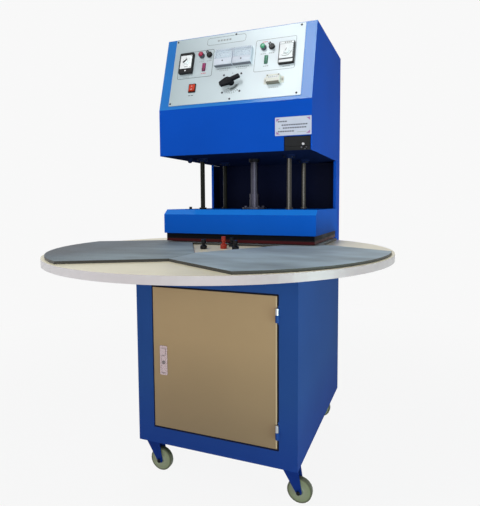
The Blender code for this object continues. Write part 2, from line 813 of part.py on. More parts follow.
def build_head():
    head = across(
        "head_housing",
        [
            [
                (HEAD_FRONT_Y, HEAD_BOTTOM_Z),
                (BACK_Y, HEAD_BOTTOM_Z),
                (BACK_Y, HEAD_TOP_Z),
                (SLOPE_TOP_Y, HEAD_TOP_Z),
                (HEAD_FRONT_Y, SLOPE_BOTTOM_Z),
            ]
        ],
        HALF_WIDTH,
        BLUE,
    )
    fold_sheet(head, (0, 0, -1))
    window = block(
        "panel_window",
        (-PANEL_HALF_WIDTH + PANEL_BORDER, PANEL_LOW + PANEL_BORDER, -SHEET - CUT_PAST),
        (PANEL_HALF_WIDTH - PANEL_BORDER, PANEL_HIGH - PANEL_BORDER, CUT_PAST),
        None,
        parent=PANEL,
    )
    notch = block(
        "valve_notch",
        (VALVE_X[0], HEAD_FRONT_Y - CUT_PAST, HEAD_BOTTOM_Z - CUT_PAST),
        (VALVE_X[1], HEAD_FRONT_Y + SHEET + CUT_PAST, VALVE_TOP_Z),
        None,
    )
    cut(head, window, notch, service_hole())
    build_head_plate()
    build_valve()


VALVE_WIDTH = 0.084
VALVE_SIDE_MARGIN = 0.004
VALVE_HEIGHT = 0.0435
VALVE_DEPTH = 0.060
VALVE_GAP = 0.0015
VALVE_X = (HALF_WIDTH - VALVE_SIDE_MARGIN - VALVE_WIDTH, HALF_WIDTH - VALVE_SIDE_MARGIN)
VALVE_TOP_Z = HEAD_BOTTOM_Z + VALVE_HEIGHT
HEAD_PLATE_BOTTOM_Z = HEAD_BOTTOM_Z
HEAD_PLATE_TOP_Z = HEAD_BOTTOM_Z + HEAD_PLATE_THICKNESS
POSTS = [
    (f"{side_name}_{row_name}", side * POST_X, PRESS_CENTRE_Y + row * POST_PITCH_Y / 2)
    for row_name, row in (("front", -1), ("rear", 1))
    for side_name, side in (("left", -1), ("right", 1))
]


def build_head_plate():
    """The thick plate that closes the head below and carries the cylinder and the bushes."""
    wall = SHEET + SEAT_GAP
    front, back = HEAD_FRONT_Y + SHEET + HEAD_PLATE_SETBACK, BACK_Y - wall
    outline = rectangle(2 * (HALF_WIDTH - wall), back - front, 0, (front + back) / 2)
    holes = [circle(POST_RADIUS + BUSH_WALL / 2, x, y) for _, x, y in POSTS]
    holes.append(circle(GLAND_RADIUS + SEAT_GAP, 0, PRESS_CENTRE_Y))
    carrier = plate("head_plate", [outline, *holes], HEAD_PLATE_BOTTOM_Z, HEAD_PLATE_TOP_Z, DARK)
    fuse(carrier, *guide_bushes(), head_stop())


THROTTLE_INSET = 0.021
THROTTLE_RISE = 0.0055
THROTTLE_X = VALVE_X[1] - THROTTLE_INSET
THROTTLE_RADIUS = 0.0045
THROTTLE_REACH = 0.011


def build_valve():
    """The exhaust valve block in the notch of the front wall, and its throttle screw."""
    gap = VALVE_GAP
    front = HEAD_FRONT_Y + SHEET * 0.4
    block(
        "valve_block",
        (VALVE_X[0] + gap, front, HEAD_PLATE_TOP_Z + SEAT_GAP),
        (VALVE_X[1] - gap, front + VALVE_DEPTH, VALVE_TOP_Z - gap),
        BLACK,
    )
    middle_z = HEAD_PLATE_TOP_Z + THROTTLE_RISE
    turned(
        "throttle_knob",
        [
            (0, THROTTLE_REACH),
            (THROTTLE_RADIUS * 0.8, THROTTLE_REACH),
            (THROTTLE_RADIUS, THROTTLE_REACH * 0.85),
            (THROTTLE_RADIUS, THROTTLE_REACH * 0.45),
            (THROTTLE_RADIUS * 0.55, THROTTLE_REACH * 0.4),
            (THROTTLE_RADIUS * 0.55, SEAT_GAP),
            (0, SEAT_GAP),
        ],
        CHROME,
        (THROTTLE_X, front, middle_z),
        (math.pi / 2, 0, 0),
        14,
    )


def guide_bushes():
    """The flanged bushes in the head plate that the guide posts run through."""
    bore = POST_RADIUS + RUNNING_GAP
    bottom = HEAD_PLATE_BOTTOM_Z
    return [
        turned(
            f"guide_bush_{name}",
            [
                (BUSH_RADIUS, HEAD_PLATE_TOP_Z + 0.010),
                (BUSH_RADIUS, bottom + 0.002),
                (BUSH_FLANGE_RADIUS, bottom + 0.002),
                (BUSH_FLANGE_RADIUS, bottom - BUSH_FLANGE),
                (BUSH_RADIUS, bottom - BUSH_FLANGE),
                (BUSH_RADIUS, bottom - BUSH_BELOW),
                (bore, bottom - BUSH_BELOW),
                (bore, HEAD_PLATE_TOP_Z + 0.010),
            ],
            None,
            (x, y, 0),
            sides=16,
            ring=True,
        )
        for name, x, y in POSTS
    ]


def guide_posts():
    """The four posts on the platen, each with a collar above the cover."""
    top = HEAD_PLATE_TOP_Z + POST_ABOVE_PLATE
    collar = PRESS_TOP_Z + SEAT_GAP
    return [
        turned(
            f"guide_post_{name}",
            [
                (0, top),
                (POST_RADIUS, top),
                (POST_RADIUS, collar + POST_COLLAR),
                (POST_COLLAR_RADIUS, collar + POST_COLLAR),
                (POST_COLLAR_RADIUS, collar),
                (POST_RADIUS, collar),
                (POST_RADIUS, PLATEN_BOTTOM_Z + 0.002),
                (0, PLATEN_BOTTOM_Z + 0.002),
            ],
            None,
            (x, y, 0),
            sides=16,
        )
        for name, x, y in POSTS
    ]


PAD_TOP_Z = PAD_BOTTOM_Z + PAD_THICKNESS
HEATER_BOTTOM_Z = PAD_TOP_Z + SEAT_GAP
HEATER_TOP_Z = HEATER_BOTTOM_Z + HEATER_THICKNESS
PLATEN_TOP_Z = PRESS_TOP_Z - SHEET - SEAT_GAP
PLATEN_BOTTOM_Z = PLATEN_TOP_Z - PLATEN_THICKNESS
PILLAR_RADIUS = 0.012
PILLAR_INSET_X = 0.072
PILLAR_INSET_Y = 0.055
PILLAR_X = PRESS_HALF_WIDTH - PILLAR_INSET_X
PILLAR_Y = (PRESS_BACK_Y - PRESS_FRONT_Y) / 2 - PILLAR_INSET_Y


def build_press():
    """The folded cover, and inside it the platen with its posts, the heater and the pad."""
    cover = across(
        "press_cover",
        [
            [
                (PRESS_FRONT_Y, PRESS_COVER_BOTTOM_Z),
                (PRESS_BACK_Y, PRESS_COVER_BOTTOM_Z),
                (PRESS_BACK_Y, PRESS_TOP_Z),
                (PRESS_FRONT_Y + PRESS_CHAMFER_Y, PRESS_TOP_Z),
                (PRESS_FRONT_Y, PRESS_TOP_Z - PRESS_CHAMFER_Z),
            ]
        ],
        PRESS_HALF_WIDTH,
        BLUE,
    )
    fold_sheet(cover, (0, 0, -1))
    for name, x, y in POSTS:
        low, high = PRESS_TOP_Z - SHEET - CUT_PAST, PRESS_TOP_Z + CUT_PAST
        cut(cover, rod(f"cover_hole_{name}", POST_RADIUS + SEAT_GAP, (x, y, low), (x, y, high), None, 24))
    half = PRESS_HALF_WIDTH - PRESS_INSET
    front, back = PRESS_FRONT_Y + PRESS_INSET, PRESS_BACK_Y - PRESS_INSET
    size = (2 * half, back - front, 0, (front + back) / 2)
    # The platen's front corner clears the cover's chamfer.
    platen_front = PRESS_FRONT_Y + PRESS_CHAMFER_Y + SHEET
    outline = rectangle(2 * half, back - platen_front, 0, (platen_front + back) / 2)
    platen = plate("platen", [outline], PLATEN_BOTTOM_Z, PLATEN_TOP_Z, STEEL)
    pillars = [
        rod(
            f"pillar_{column}_{row}",
            PILLAR_RADIUS,
            (column * PILLAR_X, PRESS_CENTRE_Y + row * PILLAR_Y, HEATER_TOP_Z + SEAT_GAP),
            (column * PILLAR_X, PRESS_CENTRE_Y + row * PILLAR_Y, PLATEN_BOTTOM_Z + 0.002),
            None,
            16,
        )
        for column in (-1, 0, 1)
        for row in (-1, 1)
    ]
    fuse(platen, *guide_posts(), *pillars)
    plate("heater_plate", [rectangle(*size)], HEATER_BOTTOM_Z, HEATER_TOP_Z, DARK)
    plate("silicone_pad", [rectangle(*size)], PAD_BOTTOM_Z, PAD_TOP_Z, SILICONE)
    fuse(cover, striker())
    build_ram()


RAM_FLANGE_RADIUS = 0.045
RAM_FLANGE = 0.006
COUPLING_RADIUS = 0.0175
COUPLING_HEIGHT = 0.055
COUPLING_TOP_Z = PRESS_TOP_Z + COUPLING_HEIGHT
FRONT_CAP_BOTTOM_Z = HEAD_PLATE_TOP_Z + SEAT_GAP
FRONT_CAP_TOP_Z = FRONT_CAP_BOTTOM_Z + CAP_THICKNESS
PISTON_BOTTOM_Z = FRONT_CAP_TOP_Z + PRESS_LIFT_GAP + END_GAP
REAR_CAP_BOTTOM_Z = PISTON_BOTTOM_Z + PISTON_THICKNESS + PRESS_STROKE + END_GAP
REAR_CAP_THICKNESS = 0.020


def build_ram():
    """The piston rod, with its flanged coupling bolted on top of the cover."""
    base = PRESS_TOP_Z + SEAT_GAP
    ridge = COUPLING_RADIUS - 0.002
    piston_radius = BARREL_RADIUS - BARREL_WALL - RUNNING_GAP
    ram = turned(
        "ram",
        [
            (0, PISTON_BOTTOM_Z + PISTON_THICKNESS),
            (piston_radius, PISTON_BOTTOM_Z + PISTON_THICKNESS),
            (piston_radius, PISTON_BOTTOM_Z),
            (ROD_RADIUS, PISTON_BOTTOM_Z),
            (ROD_RADIUS, COUPLING_TOP_Z),
            (COUPLING_RADIUS, COUPLING_TOP_Z),
            (COUPLING_RADIUS, COUPLING_TOP_Z - 0.014),
            (ridge, COUPLING_TOP_Z - 0.014),
            (ridge, COUPLING_TOP_Z - 0.019),
            (COUPLING_RADIUS, COUPLING_TOP_Z - 0.019),
            (COUPLING_RADIUS, base + RAM_FLANGE),
            (RAM_FLANGE_RADIUS, base + RAM_FLANGE),
            (RAM_FLANGE_RADIUS, base),
            (0, base),
        ],
        STEEL,
        (0, PRESS_CENTRE_Y, 0),
        sides=BORE_SIDES,
    )
    bolt_circle = (COUPLING_RADIUS + RAM_FLANGE_RADIUS) / 2 + 0.003
    places = [
        (bolt_circle * math.cos(turn), PRESS_CENTRE_Y + bolt_circle * math.sin(turn))
        for turn in (math.pi / 4 + math.pi / 2 * n for n in range(4))
    ]
    low, high = base + RAM_FLANGE / 2, base + RAM_FLANGE + 0.005
    bolts = [rod(f"ram_bolt_{n}", 0.006, (x, y, low), (x, y, high), None, 6) for n, (x, y) in enumerate(places)]
    fuse(ram, *bolts)


def build_cylinder():
    """The air cylinder on the head plate: two caps with four tie rods, and a barrel between them."""
    bore = ROD_RADIUS + RUNNING_GAP
    square = rectangle(2 * CAP_HALF_WIDTH, 2 * CAP_HALF_WIDTH, corner=0.006, steps=2)
    place = (0, PRESS_CENTRE_Y, 0)
    cylinder = plate(
        "air_cylinder", [square, circle(bore)], FRONT_CAP_BOTTOM_Z, FRONT_CAP_TOP_Z, ALUMINIUM, place
    )
    gland = turned(
        "cylinder_gland",
        [
            (GLAND_RADIUS, FRONT_CAP_BOTTOM_Z + 0.004),
            (GLAND_RADIUS, HEAD_PLATE_BOTTOM_Z - GLAND_BELOW),
            (bore, HEAD_PLATE_BOTTOM_Z - GLAND_BELOW),
            (bore, FRONT_CAP_BOTTOM_Z + 0.004),
        ],
        None,
        place,
        sides=BORE_SIDES,
        ring=True,
    )
    barrel = turned(
        "cylinder_barrel",
        [
            (BARREL_RADIUS, REAR_CAP_BOTTOM_Z + 0.002),
            (BARREL_RADIUS, FRONT_CAP_TOP_Z - 0.002),
            (BARREL_RADIUS - BARREL_WALL, FRONT_CAP_TOP_Z - 0.002),
            (BARREL_RADIUS - BARREL_WALL, REAR_CAP_BOTTOM_Z + 0.002),
        ],
        None,
        place,
        sides=BORE_SIDES,
        ring=True,
    )
    rear_top = REAR_CAP_BOTTOM_Z + REAR_CAP_THICKNESS
    rear = plate("cylinder_rear_cap", [square], REAR_CAP_BOTTOM_Z, rear_top, None, place)
    ties = [
        rod(
            f"tie_rod_{sx}_{sy}",
            TIE_ROD_RADIUS,
            (sx * TIE_ROD_X, PRESS_CENTRE_Y + sy * TIE_ROD_X, FRONT_CAP_BOTTOM_Z + 0.006),
            (sx * TIE_ROD_X, PRESS_CENTRE_Y + sy * TIE_ROD_X, rear_top + 0.005),
            None,
            8,
        )
        for sx in (-1, 1)
        for sy in (-1, 1)
    ]
    fuse(cylinder, gland, barrel, rear, *ties)


STRIKER_OFFSET_X = 0.044
STRIKER_OFFSET_Y = 0.011
STRIKER = (-POST_X - STRIKER_OFFSET_X, PRESS_CENTRE_Y - POST_PITCH_Y / 2 - STRIKER_OFFSET_Y)
STRIKER_HEIGHT = 0.009
STRIKER_RADIUS = 0.005
HEAD_STOP_HEIGHT = 0.016


def striker():
    """The bolt on the cover that stands under the rubber buffer on the head."""
    x, y = STRIKER
    low, high = PRESS_TOP_Z - SHEET / 2, PRESS_TOP_Z + STRIKER_HEIGHT
    return rod("striker_bolt", STRIKER_RADIUS, (x, y, low), (x, y, high), None, 6)


def head_stop():
    top = HEAD_PLATE_BOTTOM_Z + 0.002
    bottom = HEAD_PLATE_BOTTOM_Z - HEAD_STOP_HEIGHT
    return turned(
        "head_stop",
        [(0, top), (0.009, top), (0.0075, bottom + 0.004), (0.005, bottom), (0, bottom)],
        None,
        (*STRIKER, 0),
        sides=20,
    )


SPINDLE_FLANGE_TOP_Z = TABLE_TOP_Z - TABLE_THICKNESS - SEAT_GAP
BEARING_TOP_Z = SPINDLE_FLANGE_TOP_Z - SPINDLE_FLANGE - RUNNING_GAP


def build_turntable():
    table_bottom = TABLE_TOP_Z - TABLE_THICKNESS
    stud_hole = HUB_STUD_RADIUS + SEAT_GAP
    hub_points = [(0, 0)] + [
        (HUB_KNOB_CIRCLE * math.cos(turn), HUB_KNOB_CIRCLE * math.sin(turn)) for turn in hub_angles()
    ]
    plate(
        "table_board",
        [circle(TABLE_RADIUS, steps=96), *[circle(stud_hole, x, y, 12) for x, y in hub_points]],
        table_bottom,
        TABLE_TOP_Z,
        CREAM,
    )
    for station in range(STATIONS):
        plate(
            f"mat_{station + 1}",
            [mat_outline()],
            TABLE_TOP_Z + SEAT_GAP,
            TABLE_TOP_Z + SEAT_GAP + MAT_THICKNESS,
            MAT,
            rotation=(0, 0, 2 * math.pi * station / STATIONS),
        )
    turned(
        "spindle",
        [
            (0, SPINDLE_FLANGE_TOP_Z),
            (SPINDLE_FLANGE_RADIUS, SPINDLE_FLANGE_TOP_Z),
            (SPINDLE_FLANGE_RADIUS, SPINDLE_FLANGE_TOP_Z - SPINDLE_FLANGE),
            (SPINDLE_RADIUS, SPINDLE_FLANGE_TOP_Z - SPINDLE_FLANGE),
            (SPINDLE_RADIUS, DECK_BOTTOM_Z - SPINDLE_TAIL),
            (0, DECK_BOTTOM_Z - SPINDLE_TAIL),
        ],
        STEEL,
        sides=28,
    )
    bearing_bore = SPINDLE_RADIUS + SEAT_GAP
    base = DECK_TOP_Z + SEAT_GAP
    turned(
        "spindle_bearing",
        [
            (BEARING_RADIUS, BEARING_TOP_Z),
            (BEARING_RADIUS, base + BEARING_FLANGE * 1.25),
            (BEARING_FLANGE_RADIUS, base + BEARING_FLANGE),
            (BEARING_FLANGE_RADIUS, base),
            (bearing_bore, base),
            (bearing_bore, BEARING_TOP_Z),
        ],
        DARK,
        sides=20,
        ring=True,
    )
    hub_knob("spindle_cap", (0, 0), HUB_CAP_HEIGHT, RED)
    for number, (x, y) in enumerate(hub_points[1:], 1):
        hub_knob(f"hub_knob_{number}", (x, y), HUB_KNOB_HEIGHT, BLACK)
    block(
        "anvil",
        (-ANVIL_HALF_WIDTH, PRESS_FRONT_Y + 0.010, DECK_TOP_Z + SEAT_GAP),
        (ANVIL_HALF_WIDTH, PRESS_BACK_Y - 0.020, table_bottom - ANVIL_GAP),
        STEEL,
    )


def hub_angles():
    """The clamp knobs stand on the lines through the middles of the mats."""
    return [math.pi / 2 + 2 * math.pi * n / STATIONS for n in range(STATIONS)]


def hub_knob(name, place, height, surface):
    """A flanged knob on the table, with its stud through the board."""
    x, y = place
    radius = HUB_KNOB_RADIUS
    base = TABLE_TOP_Z + SEAT_GAP
    turned(
        name,
        [
            (0, base + height),
            (radius * 0.66, base + height),
            (radius * 0.66, base + height * 0.62),
            (radius * 0.50, base + height * 0.56),
            (radius * 0.50, base + height * 0.44),
            (radius, base + height * 0.34),
            (radius, base),
            (HUB_STUD_RADIUS, base),
            (HUB_STUD_RADIUS, SPINDLE_FLANGE_TOP_Z + SEAT_GAP),
            (0, SPINDLE_FLANGE_TOP_Z + SEAT_GAP),
        ],
        surface,
        (x, y, 0),
        sides=16,
    )


def mat_outline():
    """One station's mat: straight sides, an inner edge cut back to its sector, and a round rim."""
    half_sector = math.pi / STATIONS
    slope = math.tan(half_sector)
    gap = MAT_SPLIT_GAP / 2 / math.cos(half_sector)
    inner = MAT_INNER * slope - gap
    meet = (MAT_HALF_WIDTH + gap) / slope
    corner_angle = math.asin(MAT_HALF_WIDTH / MAT_RADIUS)
    steps = 16
    rim = [
        (MAT_RADIUS * math.sin(turn), MAT_RADIUS * math.cos(turn))
        for turn in (corner_angle - 2 * corner_angle * n / steps for n in range(steps + 1))
    ]
    right = [(-inner, MAT_INNER), (inner, MAT_INNER), (MAT_HALF_WIDTH, meet)]
    return right + rim + [(-MAT_HALF_WIDTH, meet)]


CASTERS = [
    ("front_left", -1, CASTER_FRONT_Y, 1),
    ("front_right", 1, CASTER_FRONT_Y, 1),
    ("rear_left", -1, CASTER_BACK_Y, -1),
    ("rear_right", 1, CASTER_BACK_Y, -1),
]
FORK_INSIDE = WHEEL_HALF_WIDTH + 0.0015


def caster_plates():
    """The plates under the cabinet's corners, each with the upper race of its swivel."""
    made = []
    race_bottom = CABINET_BOTTOM_Z - CASTER_PLATE - RACE_HEIGHT
    for name, side, y, _ in CASTERS:
        top = plate(
            f"caster_plate_{name}",
            [rectangle(2 * CASTER_PLATE_HALF, 2 * CASTER_PLATE_HALF, corner=0.006, steps=2)],
            CABINET_BOTTOM_Z - CASTER_PLATE,
            CABINET_BOTTOM_Z + SHEET / 2,
            None,
            (side * CASTER_X, y, 0),
        )
        race = rod(
            f"caster_race_{name}",
            RACE_RADIUS,
            (side * CASTER_X, y, race_bottom),
            (side * CASTER_X, y, CABINET_BOTTOM_Z - CASTER_PLATE / 2),
            None,
            16,
        )
        made += [top, race]
    return made


def build_caster(name, side, y, trail_to):
    """A swivel caster. Its wheel trails towards +X where trail_to is 1 and towards -X where it is -1."""
    x = side * CASTER_X
    swivel = empty(f"swivel_{name}", (x, y, 0), (0, 0, 0 if trail_to > 0 else math.pi), MACHINE)
    fork = build_fork(name, swivel)
    axle_line = empty(f"axle_line_{name}", (CASTER_TRAIL, 0, WHEEL_RADIUS), (math.pi / 2, 0, 0), swivel)
    bore = AXLE_RADIUS + RUNNING_GAP
    w, r = WHEEL_HALF_WIDTH, WHEEL_RADIUS
    turned(
        f"caster_wheel_{name}",
        [
            (bore, w),
            (0.011, w),
            (0.013, w - 0.003),
            (r - 0.009, w - 0.003),
            (r, w - 0.005),
            (r, -w + 0.005),
            (r - 0.009, -w + 0.003),
            (0.013, -w + 0.003),
            (0.011, -w),
            (bore, -w),
        ],
        TYRE,
        sides=24,
        ring=True,
        parent=axle_line,
    )
    outside = FORK_INSIDE + FORK_SIDE
    bolt = rod(
        f"caster_axle_{name}",
        AXLE_RADIUS,
        (0, 0, -outside - 0.006),
        (0, 0, outside + 0.002),
        None,
        8,
        parent=axle_line,
    )
    inside = outside - 0.0005
    head = rod(
        f"axle_head_{name}", 0.0068, (0, 0, inside), (0, 0, outside + 0.004), None, 6, parent=axle_line
    )
    nut = rod(
        f"axle_nut_{name}", 0.0068, (0, 0, -outside - 0.005), (0, 0, -inside), None, 6, parent=axle_line
    )
    fuse(fork, bolt, head, nut)


def build_fork(name, swivel):
    """The pressed fork: a crown and two tapered sides that end round the axle."""
    outside = FORK_INSIDE + FORK_SIDE
    crown_low = CROWN_TOP_Z - FORK_CROWN
    crown = rod(
        f"caster_fork_{name}", RACE_RADIUS, (0, 0, crown_low), (0, 0, CROWN_TOP_Z), BLUE, 14, parent=swivel
    )
    boss = 0.009
    left = math.radians(200)
    right = math.radians(-10)
    steps = 6
    around = [left + (right + 2 * math.pi - left) * n / steps for n in range(steps + 1)]
    foot = [
        (CASTER_TRAIL + boss * math.cos(turn), WHEEL_RADIUS + boss * math.sin(turn)) for turn in around
    ]
    side_outline = [(RACE_RADIUS + 0.006, crown_low + 0.004), (-RACE_RADIUS, crown_low + 0.004), *foot]
    for sign, word in ((1, "near"), (-1, "far")):
        y = sign * (FORK_INSIDE + FORK_SIDE / 2)
        leg = plate(
            f"fork_side_{word}_{name}",
            [side_outline],
            -FORK_SIDE / 2,
            FORK_SIDE / 2,
            None,
            (0, y, 0),
            (math.pi / 2, 0, 0),
            parent=swivel,
        )
        fuse(crown, leg)
    bridge = block(
        f"fork_bridge_{name}",
        (-RACE_RADIUS + 0.006, -outside + 0.0005, crown_low + 0.0005),
        (RACE_RADIUS, outside - 0.0005, CROWN_TOP_Z - 0.001),
        None,
        parent=swivel,
    )
    fuse(crown, bridge)
    return crown


def panel_holes():
    """The cut-outs that the instruments pass through, in the panel's own frame."""
    holes = [rectangle(METER_WIDTH - 0.016, METER_HEIGHT - 0.016, x, METER_Y) for x in METER_X]
    holes += [
        rectangle(CONTROLLER_WIDTH - 0.008, CONTROLLER_HEIGHT - 0.010, x, y)
        for x, y in zip(CONTROLLER_X, CONTROLLER_Y)
    ]
    holes += [circle(SWITCH_NECK + SEAT_GAP, x, BUTTON_Y, 16) for x in (*BUTTON_X, *SELECTOR_X)]
    holes += [rectangle(LAMP_WIDTH - 0.003, LAMP_HEIGHT - 0.003, x, LAMP_Y) for x in LAMP_X]
    holes.append(rectangle(ROCKER_WIDTH - 0.003, ROCKER_HEIGHT - 0.003, ROCKER_X, ROCKER_Y))
    holes.append(circle(HANDLE_SHAFT + RUNNING_GAP, HANDLE_X, HANDLE_Y, 16))
    holes.append(rectangle(COUNTER_WIDTH - 0.002, COUNTER_HEIGHT - 0.002, COUNTER_X, COUNTER_Y))
    return holes


FACE = SEAT_GAP + PANEL_THICKNESS
ON_FACE = FACE + SEAT_GAP


def build_panel():
    plate(
        "control_panel",
        [
            rectangle(2 * PANEL_HALF_WIDTH, PANEL_HIGH - PANEL_LOW, 0, (PANEL_LOW + PANEL_HIGH) / 2),
            *panel_holes(),
        ],
        SEAT_GAP,
        FACE,
        WHITE,
        parent=PANEL,
    )
    for name, x in zip(("left", "right"), METER_X):
        case = plate(
            f"meter_{name}",
            [rectangle(METER_WIDTH, METER_HEIGHT, x, METER_Y, 0.004)],
            ON_FACE,
            ON_FACE + METER_DEPTH,
            METER,
            parent=PANEL,
        )
        behind = rod(
            f"meter_movement_{name}",
            (METER_HEIGHT - 0.018) / 2,
            (x, METER_Y, -0.030),
            (x, METER_Y, ON_FACE + 0.002),
            None,
            16,
            parent=PANEL,
        )
        fuse(case, behind)
    build_controllers()
    build_switches()
    build_rocker()
    build_handle()
    build_counter()


def build_controllers():
    """The timer and the temperature controller, each with a setting knob on its dial."""
    for name, x, y in zip(("timer", "thermostat"), CONTROLLER_X, CONTROLLER_Y):
        case = plate(
            name,
            [rectangle(CONTROLLER_WIDTH, CONTROLLER_HEIGHT, x, y, 0.002, 2)],
            ON_FACE,
            ON_FACE + CONTROLLER_DEPTH,
            BLACK,
            parent=PANEL,
        )
        behind = block(
            f"{name}_body",
            (x - CONTROLLER_WIDTH / 2 + 0.005, y - CONTROLLER_HEIGHT / 2 + 0.006, -0.050),
            (x + CONTROLLER_WIDTH / 2 - 0.005, y + CONTROLLER_HEIGHT / 2 - 0.006, ON_FACE + 0.002),
            None,
            parent=PANEL,
        )
        knob_y = y + DIAL_OFFSET_Y
        socket = rod(
            f"{name}_socket",
            0.0025 + SEAT_GAP,
            (x, knob_y, ON_FACE + CONTROLLER_DEPTH - 0.005),
            (x, knob_y, ON_FACE + CONTROLLER_DEPTH + CUT_PAST),
            None,
            12,
            parent=PANEL,
        )
        cut(fuse(case, behind), socket)
        top = ON_FACE + CONTROLLER_DEPTH + SEAT_GAP
        turned(
            f"{name}_knob",
            [
                (0, DIAL_KNOB_HEIGHT),
                (DIAL_KNOB_RADIUS * 0.75, DIAL_KNOB_HEIGHT),
                (DIAL_KNOB_RADIUS * 0.94, DIAL_KNOB_HEIGHT * 0.75),
                (DIAL_KNOB_RADIUS, 0),
                (0.0025, 0),
                (0.0025, -0.004),
                (0, -0.004),
            ],
            BLACK,
            (x, knob_y, top),
            sides=20,
            parent=PANEL,
        )


DIAL_OFFSET_Y = 0.004


def build_switches():
    """The start and stop buttons, the two selectors and the two lamps."""
    top = ON_FACE + SWITCH_BEZEL_HEIGHT
    counterbore = SWITCH_BEZEL - BUTTON_WALL
    floor = top - 0.0055
    for name, x, surface in (("stop", BUTTON_X[0], RED), ("start", BUTTON_X[1], GREEN)):
        turned(
            f"{name}_bezel",
            [
                (SWITCH_BEZEL - 0.0006, top),
                (SWITCH_BEZEL, ON_FACE),
                (SWITCH_NECK, ON_FACE),
                (SWITCH_NECK, -0.020),
                (SWITCH_BORE, -0.020),
                (SWITCH_BORE, floor),
                (counterbore, floor),
                (counterbore, top),
            ],
            ALUMINIUM,
            (x, BUTTON_Y, 0),
            sides=18,
            ring=True,
            parent=PANEL,
        )
        cap = counterbore - SEAT_GAP
        turned(
            f"{name}_button",
            [
                (0, top + 0.0055),
                (cap * 0.6, top + 0.0050),
                (cap, top + 0.0025),
                (cap, floor + 0.0035),
                (SWITCH_BORE - RUNNING_GAP, floor + 0.0035),
                (SWITCH_BORE - RUNNING_GAP, -0.012),
                (0, -0.012),
            ],
            surface,
            (x, BUTTON_Y, 0),
            sides=18,
            parent=PANEL,
        )
    for name, x in zip(("left", "right"), SELECTOR_X):
        build_selector(name, x)
    for name, x, surface in (("red", LAMP_X[0], RED), ("green", LAMP_X[1], GREEN)):
        lens = block(
            f"{name}_lamp",
            (x - LAMP_WIDTH / 2, LAMP_Y - LAMP_HEIGHT / 2, ON_FACE),
            (x + LAMP_WIDTH / 2, LAMP_Y + LAMP_HEIGHT / 2, ON_FACE + 0.005),
            surface,
            parent=PANEL,
        )
        behind = block(
            f"{name}_lamp_body",
            (x - LAMP_WIDTH / 2 + 0.002, LAMP_Y - LAMP_HEIGHT / 2 + 0.002, -0.018),
            (x + LAMP_WIDTH / 2 - 0.002, LAMP_Y + LAMP_HEIGHT / 2 - 0.002, ON_FACE + 0.002),
            None,
            parent=PANEL,
        )
        fuse(lens, behind)


SELECTOR_GRIP_HALF = 0.0042
SELECTOR_GRIP_REACH = SELECTOR_RADIUS + 0.0012
SELECTOR_HEIGHT = 0.012


def build_selector(name, x):
    """A two-way selector: a round knob with a bar grip, on a shaft through the panel."""
    base = ON_FACE
    knob = turned(
        f"selector_knob_{name}",
        [
            (0, base + 0.007),
            (SELECTOR_RADIUS - 0.0015, base + 0.007),
            (SELECTOR_RADIUS, base + 0.005),
            (SELECTOR_RADIUS, base),
            (SWITCH_NECK, base),
            (SWITCH_NECK, -0.020),
            (0, -0.020),
        ],
        BLACK,
        (x, BUTTON_Y, 0),
        sides=18,
        parent=PANEL,
    )
    grip = block(
        f"selector_grip_{name}",
        (-SELECTOR_GRIP_HALF, -SELECTOR_GRIP_REACH, base + 0.004),
        (SELECTOR_GRIP_HALF, SELECTOR_GRIP_REACH, base + SELECTOR_HEIGHT),
        None,
        parent=PANEL,
    )
    grip.location.x = x
    grip.location.y = BUTTON_Y
    grip.rotation_euler.z = math.radians(35)
    fuse(knob, grip)


def build_rocker():
    """The power switch: a frame with a rocker that tips about its middle."""
    width, height = ROCKER_WIDTH, ROCKER_HEIGHT
    rim = 0.0022
    frame = plate(
        "power_switch_frame",
        [
            rectangle(width, height, ROCKER_X, ROCKER_Y, 0.001),
            rectangle(width - 2 * rim, height - 2 * rim, ROCKER_X, ROCKER_Y),
        ],
        ON_FACE,
        ON_FACE + 0.003,
        BLACK,
        parent=PANEL,
    )
    skirt = plate(
        "power_switch_skirt",
        [
            rectangle(width - 0.0036, height - 0.0036, ROCKER_X, ROCKER_Y),
            rectangle(width - 2 * rim, height - 2 * rim, ROCKER_X, ROCKER_Y),
        ],
        -0.018,
        ON_FACE + 0.0015,
        None,
        parent=PANEL,
    )
    fuse(frame, skirt)
    pivot = empty(
        "rocker_axis", (ROCKER_X, ROCKER_Y, ON_FACE - 0.001), (-ROCKER_TILT, 0, 0), PANEL
    )
    reach = height / 2 - rim - 0.0012
    mesh = outline_mesh(
        "power_rocker",
        [[(-reach, 0.0068), (-reach * 0.9, -0.002), (0, -0.007), (reach * 0.9, -0.002), (reach, 0.0068), (0, 0.0048)]],
        width - 2 * rim - 2 * SEAT_GAP,
    )
    mesh.transform(Matrix(((0, 0, 1, 0), (1, 0, 0, 0), (0, 1, 0, 0), (0, 0, 0, 1))))
    add("power_rocker", mesh, RED, parent=pivot)


